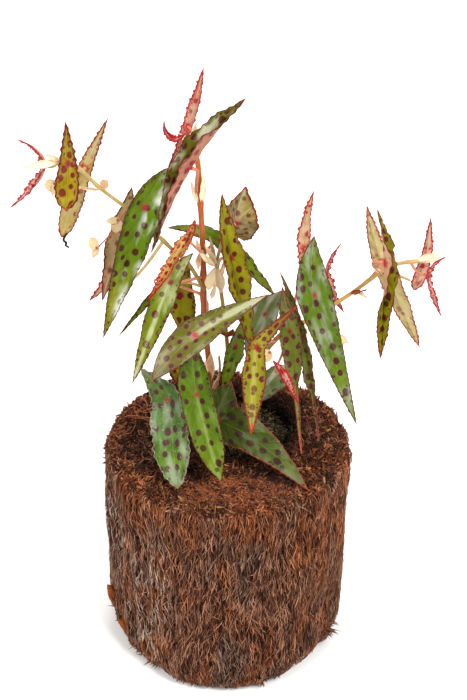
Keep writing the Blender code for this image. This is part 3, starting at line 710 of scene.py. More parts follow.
def makeTopFibres():
    # short roots on the shelf, longer ones that stand up round it, and a few long pale ones
    dice = random.Random(7)
    strands, grit = [], []
    while len(strands) < topForm["count"] or len(grit) < topForm["shelfCount"]:
        x, y = spotOn(dice, 0.12, topForm["outer"])
        if fromHole(x, y) < 0.5 or topHeight(x, y) is None:
            continue
        heading, bend = dice.uniform(-math.pi, math.pi), dice.gauss(0, 0.7)
        away = fromHole(x, y)
        drop = core["rimDrop"] * max(0.0, 1 - away / core["rimWidth"]) ** 2
        # tints grow darker towards the hole's edge: painted shade where the top falls away into the hole
        rim = smoothstep(away, 1, 10)
        if dice.random() < shelfShare(x, y) * 0.95:
            length, tilt = dice.uniform(*topForm["shortLength"]), dice.uniform(0.0, 0.1)
            points = topStrand(x, y, length, heading, bend, tilt)
            tint = dice.uniform(0.3, 0.85) * (0.25 + 0.75 * rim)
            pile, limit, sink, tip = grit, topForm["shelfCount"], 1.0 + drop, tint
        else:
            tilt = dice.choice((0.1, 0.3, 0.6, 0.9)) * dice.uniform(0.4, 1.0)
            points = topStrand(x, y, dice.uniform(*topForm["length"]), heading, bend, tilt)
            clump = noise.noise(Vector((x, y, 0)) / 6)
            tint = max(0.0, dice.uniform(0.0, 0.55) + 0.4 * clump) * (0.3 + 0.7 * rim)
            pile, limit, sink = strands, topForm["count"], dice.uniform(0.4, 1.6) + drop
            tip = tint + dice.uniform(0.0, 0.5) * rim
        if len(points) > 3 and len(pile) < limit:
            sunk = [(px, py, pz - sink) for px, py, pz in points]
            pile.append((sunk, dice.uniform(*topForm["radius"]), tint, tip))
    for _ in range(topForm["longCount"]):
        angle, reach = dice.gauss(2.7, 0.5), dice.uniform(36, 56)
        x, y = reach * math.cos(angle), reach * math.sin(angle)
        if fromHole(x, y) >= 3 and topHeight(x, y):
            length = dice.uniform(*topForm["longLength"])
            heading, bend = dice.uniform(-3, 3), dice.gauss(0, 1.4)
            points = topStrand(x, y, length, heading, bend, 0.05, 8)
            if len(points) > 4:
                strands.append(([(px, py, pz + 0.5) for px, py, pz in points], 0.27, 0.5, 0.95))
    growFibres("topFibres", strands, fibres["topFibre"])
    growFibres("shelfFibres", grit, fibres["shelfFibre"])


wallForm = {"count": 2600, "low": 97.0, "reach": 40, "length": (1.5, 6.0), "radius": (0.26, 0.5)}


def makeWallFibres():
    # roots that line the wall of the planting hole and hang over its edge; their near-black colour is dark
    # moss with painted shade inside the hole
    dice = random.Random(13)
    strands = []
    middle = Vector((hole["x"], hole["y"], 0))
    while len(strands) < wallForm["count"]:
        angle = dice.uniform(-math.pi, math.pi)
        height = dice.uniform(wallForm["low"], blockTop - 1.5)
        way = outward(angle)
        found = potTree.ray_cast((middle + Vector((0, 0, height))) * mm, way)[0]
        if found is None or (found / mm - middle).xy.length > wallForm["reach"]:
            continue
        start = found / mm + way * 0.8
        side = way.cross(up)
        run = (side * dice.gauss(0, 0.8) + Vector((0, 0, dice.uniform(-1, 1)))).normalized()
        run *= dice.uniform(*wallForm["length"])
        bow = -way * dice.uniform(0.6, 2.6)
        tint = dice.uniform(0.0, 0.8) ** 1.5
        points = [start, start + run * 0.35 + bow, start + run * 0.7 + bow, start + run + bow * 0.6]
        strands.append((points, dice.uniform(*wallForm["radius"]), tint, tint + dice.uniform(0, 0.3)))
    strands = [strand for strand in strands if max(point.z for point in strand[0]) < blockTop]
    growFibres("holeFibres", strands, fibres["wallFibre"])


def scatter(name, template, places, material):
    # copies of a small modelled bit, each turned and sized, joined into one piece
    copies = []
    for place, turn, size in places:
        copy = template.copy()
        copy.data = template.data.copy()
        bpy.context.scene.collection.objects.link(copy)
        copy.location = Vector(place) * mm
        copy.rotation_euler = turn
        copy.scale = size
        copies.append(copy)
    piece = joinPieces(name, copies)
    bpy.ops.object.transform_apply(location=True, rotation=True, scale=True)
    bpy.data.objects.remove(template)
    setMaterials(piece, material)
    return piece


def makeCrumbs():
    # loose crumbs of fibre on the top and on the filling
    dice = random.Random(19)
    crumb = addShape(bpy.ops.mesh.primitive_ico_sphere_add, subdivisions=1, radius=mm)
    for vert in crumb.data.vertices:
        vert.co *= 1 + 0.5 * noise.noise(vert.co / mm * 1.7)
    places = []
    while len(places) < topForm["crumbs"]:
        x, y = spotOn(dice, 0.0, topForm["crumbReach"])
        tree = soilTree if fromHole(x, y) < -2 else potTree
        level = topHeight(x, y, tree)
        if level is None or level < topForm["crumbsFrom"] or dice.random() < shelfShare(x, y):
            continue
        size = dice.uniform(*topForm["crumbSize"])
        places.append(((x, y, level + 0.1 * size), tuple(dice.uniform(0, 6) for _ in range(3)),
                       (size * dice.uniform(0.7, 1.9), size, size * dice.uniform(0.5, 0.9))))
    piece = scatter("crumbs", crumb, places, fibres["crumbFibre"])
    smooth(piece, 40)
    handOver(piece, "root_fibre")
    print("crumbs", len(piece.data.polygons))


# each chip: its place, its turn and its size
woodChips = [((-58.9, -18.2, 26.5), (0.15, 0.3, -1.27), (2.7, 2.5, 6.2)),
             ((-51.6, -30.2, 14.5), (0.3, -0.6, -1.04), (2.6, 2.1, 4.8))]
paleSpots = [(2, -57), (-3.7, -54.5), (34, -45), (46, -33), (33.7, -27), (49.8, 4), (-21.8, -48.5)]


def makeChips():
    # orange woody chips low on the left, and pale splinters round the rim
    dice = random.Random(47)
    paleChips = []
    for x, y in paleSpots:
        turn = (0, dice.uniform(-0.3, 0.3), dice.uniform(0, 6))
        paleChips.append(((x, y, topHeight(x, y) + 0.7), turn, (dice.uniform(1.2, 2.2), 0.5, 0.35)))
    for name, places, look in (("woodChips", woodChips, "chipWood"),
                               ("paleChips", paleChips, "paleWood")):
        chip = addShape(bpy.ops.mesh.primitive_ico_sphere_add, subdivisions=3, radius=mm)
        for vert in chip.data.vertices:
            spot = vert.co / mm
            vert.co *= 1 + 0.5 * noise.noise(spot * 1.4) + 0.3 * noise.noise(spot * 3.4)
        piece = scatter(name, chip, places, fibres[look])
        smooth(piece, 40)
        handOver(piece, "root_fibre")


makeCore()
makeChips()
makeSideStrands()
makeRaggedEnds()
makeTopFibres()
makeWallFibres()
makeCrumbs()
print("fibre block ready")


# the mossy filling of the planting hole

def makeSoilSkin():
    board, given = newSkin("soilSkin", {
        "deep": (12, 8, 5), "earth": (36, 26, 17), "moss": (60, 54, 24),
    })
    place = board.node("ShaderNodeTexCoord").outputs["Object"]
    lumps = board.cloud(place, 260, 4.0, 0.65)
    patch = board.cloud(place, 90, 3.0, 0.6)
    grain = board.cloud(place, 1500, 2.0)
    # the lumps' hollows, the low parts of the bump, take the near-black deep colour: dark earth with
    # painted shade in the hole
    colour = board.blend(board.rise(lumps, 0.38, 0.62), given["deep"], given["earth"])
    colour = board.blend(board.rise(patch, 0.54, 0.68), colour, given["moss"])
    colour = board.shade(colour, 0.5 + grain)
    return board.finish(colour, 0.75 + grain * 0.2, lumps)


soilMaterial = newMaterial("mossySoil", makeSoilSkin(), 1.0, 0.5, {})
filling = {"voxel": 0.9, "lump": 2.2, "top": 96, "tuftsFrom": 98, "tuftReach": 27,
           # each kind of bit: its look, how many, how long, how thick and how steep
           "bits": {"mossTufts": ("mossTuft", 1500, (1.0, 3.6), 0.34, (0.2, 1.2)),
                    "rootlets": ("rootlet", 160, (4.0, 15.0), 0.26, (0.0, 0.25))}}


def makeSoil():
    # a lumpy bed that takes the place of the plain filling
    piece = evenCopy("soil", "mossBed", filling["voxel"])
    for vert in piece.data.vertices:
        place = vert.co / mm
        if place.z > filling["top"]:
            lump = noise.noise(place / 4.5) + 0.6 * noise.noise(place / 1.9)
            lump += 0.3 * noise.noise(place / 0.9)
            place.z += filling["lump"] * lump
            vert.co = place * mm
    smooth(piece, 60)
    setMaterials(piece, soilMaterial)
    handOver(piece, "mossy_soil", "soil")


tuftMaterials = newMaterials(fibreSkin, fibreShine, {
    "mossTuft": (0.1, {"gap": (12, 10, 5), "dark": (44, 38, 20), "light": (126, 108, 58),
        "rustDark": (48, 50, 14), "rustLight": (150, 146, 52), "rustShare": 1.0, "slateShare": 0.3,
        **noBloom}),
    "rootlet": (0.1, {"dark": (88, 62, 42), "light": (186, 150, 112), "slateShare": 0.2, **noBloom}),
})


def makeMossTufts():
    # moss standing on the filling, and loose rootlets lying on it
    dice = random.Random(5)
    for name, (look, count, span, thick, tilts) in filling["bits"].items():
        strands = []
        while len(strands) < count:
            x, y = spotOn(dice, 0, filling["tuftReach"])
            x, y = hole["x"] + x, hole["y"] + y
            level = topHeight(x, y, soilTree)
            if level is None or level < filling["tuftsFrom"]:
                continue
            length, heading = dice.uniform(*span), dice.uniform(-math.pi, math.pi)
            steep = dice.uniform(*tilts)
            points = []
            for index in range(5):
                part = index / 4
                points.append((x + length * part * math.cos(heading + part) * math.cos(steep),
                               y + length * part * math.sin(heading + part) * math.cos(steep),
                               level + 0.2 + length * part * math.sin(steep) * (1.3 - 0.4 * part)))
            tint = dice.random() ** 1.6
            strands.append((points, thick * dice.uniform(0.7, 1.2), tint, tint + 0.2))
        growFibres(name, strands, tuftMaterials[look], "mossy_soil")


makeSoil()
makeMossTufts()
print("filling ready")


# the leaves: the same places as the solids, in millimetres

leafKeys = ("look", "tail", "heart", "head", "half", "face", "fold", "root")


def leafRows(stem, rows):
    # a stem's leaves, named from its tip down; a last dictionary holds what is special to a leaf
    leaves = {}
    for number, row in enumerate(rows, 1):
        special = row[-1] if isinstance(row[-1], dict) else {}
        leaves[f"{stem}_leaf_{number:02d}"] = {**dict(zip(leafKeys, row)), **special}
    return leaves


mainLeaves = leafRows("main", [
    ("youngRose", (-26, 2, 255), (-17, 9, 271), (-10, 10, 298), 2.8, (-0.3, 0.9, 0.2), 25, (-15, 5, 264)),
    ("youngRed", (-27, -4, 279), (-24, -1, 270), (-18, -5, 274), 1.1, (-0.5, -0.6, 0.6), 10,
     (-15.5, 5, 266)),
    ("darkOlive", (-34, -9.5, 218.5), (-15.5, -8, 259), (8, -5, 290), 8.8, (-0.8, -0.35, 0.45), 61,
     (-12, 6, 236), {"stalkPull": (-16, 4, 245), "stalkBend": 3.0}),
    ("amber", (-14, -14, 237), (-17, -18, 229), (-34, -40, 211), 3.5, (-0.5, -0.7, 0.6), 35,
     (-11, 6, 211)),
    ("bandedGreen", (-15, -7, 217), (-25.5, -15, 206), (-43, -34, 164), 5.8, (-0.2, -0.85, 0.45), 12,
     (-11, 6, 198)),
    ("leafGreen", (-26, 9, 204), (-32, 5, 193), (-51, 0, 169), 2.0, (0.7, -0.1, 0.7), 15, (-11, 6, 188)),
    ("lime", (-18, 15, 204), (-22, 15, 183), (-17, 12, 157), 6.6, (0.1, -0.85, 0.45), 14, (-11, 6, 176),
     {"stalkPull": (-4, 27, 178)}),
    ("leafGreen", (-28, 24, 214), (-4, 34, 202), (24, 34, 171), 5.2, (0.2, -0.5, 0.85), 12,
     (-11, 6, 197)),
    ("silverGreen", (-33, -50, 176), (-14, -36, 191), (19, -22, 204), 7.6, (0.0, -0.75, 0.65), 12,
     (-10.5, 6, 172), {"tailFull": 2.2, "widest": 0.0, "headFull": 1.1}),
    ("broadGreen", (2, -5, 146), (-4, -14, 130), (38, -45, 112), 11.0, (0.15, -0.6, 0.8), 8,
     (-7.5, 5, 122),
     {"headFull": 1.4, "sweep": 0.2, "headPull": (17, -28, 131), "tailFull": 2.0, "widest": 0.0}),
    ("brightGreen", (-16, -13, 175), (-14, -26, 153), (-3, -45, 118), 7.8, (-0.15, -0.85, 0.5), 12,
     (-8, 5, 136), {"headFull": 4.2, "stalkPull": (-18, -2, 136), "widest": -0.1}),
    ("dustyGreen", (-41, -8, 156), (-28, -17, 144), (-23, -45, 113), 9.6, (-0.4, -0.7, 0.6), 14,
     (-8, 5, 130), {"headFull": 3.2, "widest": 0.3, "sweep": 0.15}),
    ("blushBack", (-32, 5, 157), (-26, 4, 149), (-22, 2, 138), 3.8, (0.2, -0.8, 0.5), 30, (-8, 5, 142),
     {"stalkPull": (-11, 17, 142)}),
])
leftLeaves = leafRows("left", [
    ("olive", (-69, -6, 280), (-68, -15, 264), (-69, -25, 247), 5.0, (0.05, -0.85, 0.5), 12,
     (-63, -9, 257), {"tailFull": 1.2, "headFull": 4.5, "widest": 0.45}),
    ("paleBack", (-52, 10, 275), (-63, 5, 253), (-75, 2, 220), 4.4, (0.2, 0.9, 0.1), 20, (-57, -8, 251),
     {"tailFull": 1.3, "headFull": 5.0, "widest": 0.4, "sweep": 0.2, "headPull": (-69, 4, 239)}),
    ("youngRed", (-90, -8, 272), (-79, -7, 259), (-95, -12, 242), 2.8, (-0.9, -0.35, 0.1), 40,
     (-73, -8, 262)),
    ("glossyGreen", (-25, -14, 262), (-35.5, -20, 246), (-55, -34, 188), 8.0, (0.35, -0.78, 0.5), 20,
     (-34, -5, 228), {"widest": 0.1}),
    ("blushBack", (-42.5, 5, 244), (-47.5, 3, 223), (-57.5, -7, 192), 6.0, (-0.3, 0.85, 0.3), 15,
     (-40, -6, 235)),
    ("youngPink", (-40, 16, 205), (-52, 13, 194), (-65, 8, 184), 3.4, (0.2, 0.8, 0.5), 20,
     (-28, -3, 221)),
])
secondLeaves = leafRows("second", [
    ("lime", (-2, 4, 241), (1.5, -5, 213), (12.5, -10, 166), 7.4, (0.6, -0.65, 0.45), 28, (-4, 5, 201)),
    ("broadBack", (9, 20, 237), (3.5, 14, 221), (7, 32, 204), 11.5, (0.57, 0.7, 0.4), 35, (-4, 5, 205),
     {"widest": 0.0}),
    ("leafGreen", (8, 2, 178), (4, 1, 163), (-3, 1, 134), 4.5, (0.3, -0.85, 0.4), 15, (1, 8.5, 146)),
    ("greyGreen", (27, 19, 183), (18, 17, 171), (9, 13, 150), 7.0, (0.2, -0.6, 0.75), 12, (1, 8.5, 152),
     {"stalkPull": (2, 24, 156)}),
])
rightLeaves = leafRows("right", [
    ("green", (39, -10, 227), (39, -23, 204), (59, -44, 148), 8.2, (0.1, -0.85, 0.45), 10, (43, 3.2, 179),
     {"widest": 0.0, "headFull": 1.25}),
    ("beigeBack", (39, 7, 241), (36, 4, 213), (45, 0, 184), 3.7, (-0.3, 0.85, 0.2), 25, (30, 0.5, 172),
     {"stalkPull": (30, 8, 190)}),
    ("youngRed", (53, 11, 212), (46, 9, 197), (56, 14, 174), 2.8, (0.9, -0.4, 0.1), 38, (43, 3.3, 179)),
    ("creamBack", (64, 13, 231), (72, 11, 203), (92, 5, 160), 4.8, (0.2, 0.85, -0.1), 18, (66, 1.5, 198),
     {"headFull": 2.4}),
    ("oliveGreen", (67, -6, 238), (71, -9, 213), (71, -16, 166), 6.0, (0.9, -0.43, 0.1), 60, (70, 1, 202),
     {"twist": 60}),
    ("youngPink", (93, 9, 227), (92, 8, 206), (87, 5, 191), 2.9, (0.3, 0.9, 0.1), 20, (85, 0, 208.8),
     {"headFull": 3.6, "widest": 0.5}),
    ("youngRed", (99, -6, 214), (91, -7, 205), (99, -9, 185), 2.2, (0.8, -0.5, 0.2), 30, (84, 0, 208.5)),
    ("ochreRed", (32, -29, 203), (13.5, -38, 186), (11, -47, 145), 5.6, (-0.1, -0.85, 0.5), 12,
     (23, 0, 166), {"tailFull": 0.95, "sweep": 0.12, "widest": 0.3}),
    ("paleGreen", (25, -8, 200), (29, -14, 180), (35, -30, 122), 4.9, (-0.2, -0.85, 0.3), 12,
     (27, -0.5, 171), {"headFull": 3.0, "widest": 0.02, "bodyEnd": 0.45, "drip": 0.34}),
    ("paleGreen", (24, -5, 206), (35, -7, 173), (44, -15, 119), 3.6, (-0.6, -0.7, 0.2), 15,
     (34, 1.5, 174), {"headFull": 3.0, "bodyEnd": 0.55, "drip": 0.42}),
    ("youngRed", (21, -23, 170), (25, -25, 165), (33, -28, 150), 2.0, (0.6, -0.7, 0.4), 30,
     (26, -1, 170.5), {"stalkPull": (30, -12, 168)}),
    ("greyGreen", (34, 17, 137), (26, 14, 138), (14, 1, 130), 6.5, (0.0, -0.4, 0.9), 10, (10, 11, 128),
     {"stalkPull": (15, 22, 122)}),
])

leafForm = {"cell": 0.62, "strips": 14, "thickness": 0.42, "reach": 5.0, "waveLength": 15.0,
            "waveHeight": 0.9, "fullWaveHalf": 4.5, "arch": 0.07, "ripple": 0.3, "rippleLength": 4.3,
            "pucker": 0.5, "puckerLength": 4.5, "midribSteps": 40}


def blendPoint(start, pull, stop, t):
    return (1 - t) ** 2 * start + 2 * t * (1 - t) * pull + t ** 2 * stop


def midribLine(leaf):
    # close points along the midrib, how far each is from the tail, and how far the heart is
    tail, heart, head = (Vector(leaf[key]) for key in ("tail", "heart", "head"))
    shorter = min((heart - tail).length, (head - heart).length)
    lean = (head - tail).normalized() * shorter * leaf.get("sweep", 0.45)
    headPull = Vector(leaf["headPull"]) if "headPull" in leaf else heart + lean
    steps = leafForm["midribSteps"]
    points = [blendPoint(tail, heart - lean, heart, index / steps) for index in range(steps)]
    points += [blendPoint(heart, headPull, head, index / steps) for index in range(steps + 1)]
    reached = [0.0]
    for before, after in zip(points, points[1:]):
        reached.append(reached[-1] + (after - before).length)
    return points, reached, reached[steps]


def along(line, distance):
    points, reached, _ = line
    distance = min(max(distance, 0.0), reached[-1])
    low, high = 0, len(reached) - 1
    while high - low > 1:
        middle = (low + high) // 2
        if reached[middle] <= distance:
            low = middle
        else:
            high = middle
    share = (distance - reached[low]) / (reached[high] - reached[low])
    return points[low].lerp(points[high], share)


def leafWidth(part, heartPart, leaf):
    widest = heartPart + leaf.get("widest", 0.14) * (1 - heartPart)
    if part < widest:
        return leaf["half"] * (1 - ((widest - part) / widest) ** leaf.get("tailFull", 1.6))
    past = (part - widest) / (1 - widest)
    body = 1 - (past / leaf.get("bodyEnd", 1.0)) ** leaf.get("headFull", 1.5)
    return leaf["half"] * max(body, leaf.get("drip", 0) * math.sqrt(1 - min(1.0, past)))


def leafFrame(line, distance, face, twist):
    # the directions across the leaf and out of its upper side
    ahead = along(line, distance + leafForm["reach"]) - along(line, distance - leafForm["reach"])
    ahead.normalize()
    across = Vector(face).cross(ahead).normalized()
    out = ahead.cross(across)
    turned = across * math.cos(twist) + out * math.sin(twist)
    return turned, out * math.cos(twist) - across * math.sin(twist)


def toothAt(distance, gap, seed):
    # how far the margin's tooth stands out there, 0 to 1: each leans forward and has its own size
    number = math.floor(distance / gap)
    part = distance / gap - number
    size = 0.45 + 0.55 * abs(noise.noise(Vector((number * 1.7, seed, 3.1)))) * 2
    rising = part / 0.65 if part < 0.65 else (1 - part) / 0.35
    return min(1.2, size) * rising ** 1.3


def growLeaf(name, leaf, seed):
    line = midribLine(leaf)
    length, heartAt = line[1][-1], line[2]
    look = leafLooks[leaf["look"]]
    stations = max(30, round(length / leafForm["cell"]))
    piece = addShape(bpy.ops.mesh.primitive_grid_add, x_subdivisions=stations,
                     y_subdivisions=leafForm["strips"], size=2)
    piece.name = name + "_blade"
    fold = math.radians(leaf["fold"])
    narrow = max(leaf["half"], leafForm["fullWaveHalf"])
    places, turns = [], []
    for vert in piece.data.vertices:
        distance = (vert.co.x + 1) / 2 * length
        side = math.copysign(1 - (1 - abs(vert.co.y)) ** 1.25, vert.co.y)
        part = distance / length
        half = max(0.0, leafWidth(part, heartAt / length, leaf))
        bending = fold * min(1.0, half / leaf["half"] * 1.2)
        ripple = math.sin(math.tau * distance / leafForm["waveLength"] + 1.3 * side + leaf["half"])
        lift = leafForm["waveHeight"] * ripple * side * side * half / narrow
        fine = math.sin(math.tau * distance / leafForm["rippleLength"] + seed + 2 * side)
        lift += leafForm["ripple"] * look["frill"] * fine * abs(side) ** 3 * min(1, half / 3)
        lift += leafForm["arch"] * half * math.sin(math.pi * abs(side))
        swell = noise.noise(Vector((distance, side * half * 1.6, 9 * seed)) / leafForm["puckerLength"])
        lift += leafForm["pucker"] * swell * min(1.0, half / 6)
        tooth = toothAt(distance + 40 * (side > 0), look["toothGap"], seed) * look["tooth"]
        tooth *= abs(side) ** 8 * min(1.0, half / 1.2)
        past = 2 * (distance - heartAt) / (length - heartAt)
        twist = math.radians(leaf.get("twist", 0)) * min(1.0, max(0.0, past))
        across, out = leafFrame(line, distance, leaf["face"], twist)
        lift += 0.35 * tooth * look["frill"]
        reach = side * half * math.cos(bending) + math.copysign(tooth, side)
        vert.co = (along(line, distance) + across * reach
                   + out * (abs(side) * half * math.sin(bending) + lift)) * mm
        places += [distance - heartAt, side * half, (1 - abs(side)) * half + 0.5 * tooth]
        rest = length - heartAt if distance > heartAt else heartAt
        turns += [(distance - heartAt) / rest, seed, 0.0]
    piece.data.attributes.new("leafPlace", "FLOAT_VECTOR", "POINT").data.foreach_set("vector", places)
    piece.data.attributes.new("leafTurn", "FLOAT_VECTOR", "POINT").data.foreach_set("vector", turns)
    weld(piece, 0.02, turnOut=False)
    setMaterials(piece, upperSkins[look["upper"]], underSkins[look["under"]])
    thicken(piece, leafForm["thickness"], -1.0, 1)
    handOver(piece, look["slot"], name)


def makeLeafSkin():
    # colours run from tail to head; veins, spots, a silver bloom that is partly painted sheen, a red
    # margin and heart lie over them
    board, given = newSkin("leafSkin", {
        "tail": (60, 100, 30), "middle": (70, 120, 30), "head": (120, 150, 50), "spot": (84, 40, 56),
        "margin": (96, 20, 28), "tip": (180, 50, 40), "heart": (196, 60, 90), "vein": (150, 180, 90),
        "bloom": (205, 212, 205), "spotGap": 6.0, "spotSize": 0.3, "spotShare": 0.7, "spotBlur": 0.16,
        "marginWidth": 0.5, "tipReach": 0.12, "heartSize": 1.6, "veinStrength": 0.3, "veinGap": 7.0,
        "bloomPatches": 0.3, "bloomSide": 0.0, "bandWidth": 1.5, "bandStrength": 0.0, "mottle": 0.3,
        "gloss": 0.32, "relief": -1.0, "edgeShade": 0.3, "specks": 0.0, "spokeReach": 11.0,
        "spokes": 0.3,
    })
    place = board.node("ShaderNodeAttribute", attribute_name="leafPlace").outputs["Vector"]
    turn = board.node("ShaderNodeAttribute", attribute_name="leafTurn").outputs["Vector"]
    distance, across, edge = board.split(place)
    part, seed, _ = board.split(turn)
    aside = board.maths("ABSOLUTE", across)
    shift = seed * 17.3
    here = board.merge(distance + shift, across, seed)
    soft = board.cloud(here, 0.16, 3.0, 0.55)
    fine = board.cloud(here, 1.3, 2.0)
    colour = board.blend(board.fall(part, -0.85, -0.1), given["middle"], given["tail"])
    colour = board.blend(board.rise(part, 0.3, 0.9), colour, given["head"])
    tone = 1.0 + (soft - 0.5) * (given["mottle"] * 3.0)
    colour = board.shade(colour, tone)
    rimShade = board.fall(edge, 0.0, 2.8) * given["edgeShade"]
    colour = board.shade(colour, 1.0 - rimShade)
    # the veins run out slantwise from the midrib, and a few spokes from the heart
    wander = (soft - 0.5) * 5.0
    slant = board.maths("ABSOLUTE", distance + wander) - aside * 1.5
    cycle = board.maths("PINGPONG", slant, given["veinGap"] * 0.5)
    lateral = board.fall(cycle, 0.08, 0.5) * 0.55
    midrib = board.fall(aside, 0.15, 0.55)
    near = board.maths("SQRT", across * across + distance * distance)
    bearing = board.maths("ARCTAN2", across, distance)
    spoke = near * board.maths("ABSOLUTE", board.maths("SINE", bearing * 3.5))
    spoke = board.fall(spoke, 0.3, 1.5) * (board.fall(near, 5.0, given["spokeReach"]) * given["spokes"])
    lateral = lateral * board.rise(near, 5.0, 9.0)
    veins = board.maths("MAXIMUM", board.maths("MAXIMUM", lateral, midrib), spoke)
    veinTint = board.blend(board.fall(near, 1.5, 6.0) * 0.75, given["vein"], given["heart"])
    colour = board.blend(veins * given["veinStrength"], colour, veinTint)
    # round spots in the middle, and a row of small ones along the margin
    spots = None
    for gap, grow, low, high in ((1.0, 1.0, 0.9, 1.6), (0.5, 0.8, 0.0, 0.3)):
        grid = board.node("ShaderNodeTexVoronoi", voronoi_dimensions="2D", feature="F1")
        size = 1.0 / (given["spotGap"] * gap)
        board.feed(grid.inputs["Vector"], board.merge((distance + shift) * (size * 0.84),
                                                      (across + shift) * size))
        grid.inputs["Scale"].default_value = 1.0
        grid.inputs["Randomness"].default_value = 0.62
        first, second, _ = board.split(grid.outputs["Color"])
        radius = given["spotSize"] * grow * (0.7 + first * 0.5)
        inner = radius * (1.0 - given["spotBlur"])
        outer = radius * 1.35
        away = grid.outputs["Distance"] + (fine - 0.5) * 0.08
        mask = board.fall(away, inner, radius) * 0.82 + board.fall(away, inner, outer) * 0.18
        mask = mask * board.maths("LESS_THAN", second, given["spotShare"])
        if gap < 1:
            mask = mask * board.fall(edge, 1.4, 2.2)
        mask = mask * board.rise(edge, low, high)
        spots = mask if spots is None else board.maths("MAXIMUM", spots, mask)
    colour = board.blend(spots, colour, board.shade(given["spot"], 0.82))
    # the silver bloom lies in long soft streaks, and thinly over the spots; it is partly the leaf's silver
    # bloom and partly painted sheen
    lengthways = board.merge((distance + shift) * 0.34, across, seed)
    patches = board.rise(board.cloud(lengthways, 0.2, 2.0, 0.5), 0.44, 0.7)
    # the bloom and its painted sheen can lean to one half, the half that faces the lights
    lean = across * given["bloomSide"] + 6.0 * (1.0 - board.maths("ABSOLUTE", given["bloomSide"]))
    patches = patches * board.rise(lean, -0.5, 2.5)
    patches = patches * given["bloomPatches"]
    # a pale band along the midrib in the bloom colour: a silver band, and on the bright green look a
    # painted highlight along the midrib
    stray = aside + (soft - 0.5) * 1.6
    band = board.fall(stray, given["bandWidth"] * 0.15, given["bandWidth"])
    band = band * board.rise(part, -0.25, 0.15) * given["bandStrength"]
    bloom = board.maths("MAXIMUM", patches, band)
    thin = 1.0 - spots * 0.6
    bloom = board.maths("MULTIPLY", bloom * thin, 0.7 + fine * 0.5, clamp=True)
    colour = board.blend(bloom, colour, given["bloom"])
    ragged = edge + (fine - 0.5) * 0.5
    rim = board.fall(ragged, given["marginWidth"] * 0.4, given["marginWidth"])
    colour = board.blend(rim, colour, given["margin"])
    ends = board.rise(board.maths("ABSOLUTE", part), 1.0 - given["tipReach"], 1.0)
    colour = board.blend(ends, colour, given["tip"])
    # the heart is a ragged star
    ray = board.maths("COSINE", bearing * 7.0)
    star = given["heartSize"] * (0.9 + ray * 0.15)
    ragged = near + (fine - 0.5) * 1.4
    heart = board.fall(ragged, star * 0.3, star)
    colour = board.blend(heart * 0.9, colour, given["heart"])
    # white glints in the bloom colour: painted highlights
    glint = board.rise(board.cloud(here, 0.9, 1.0), 0.7, 0.74)
    colour = board.blend(glint * given["specks"], colour, given["bloom"])
    rough = given["gloss"] + bloom * 0.2
    quilt = board.fall(cycle, 0.2, 2.6) * 0.6
    height = (quilt + midrib * 0.8) * given["relief"]
    return board.finish(colour, rough + soft * 0.1, height + fine * 0.12)


leafSkin = makeLeafSkin()


def tinted(base, tail, middle, head, **changes):
    # a look with its own colours along the leaf, and where else it differs from its base
    return {**base, "tail": tail, "middle": middle, "head": head, **changes}
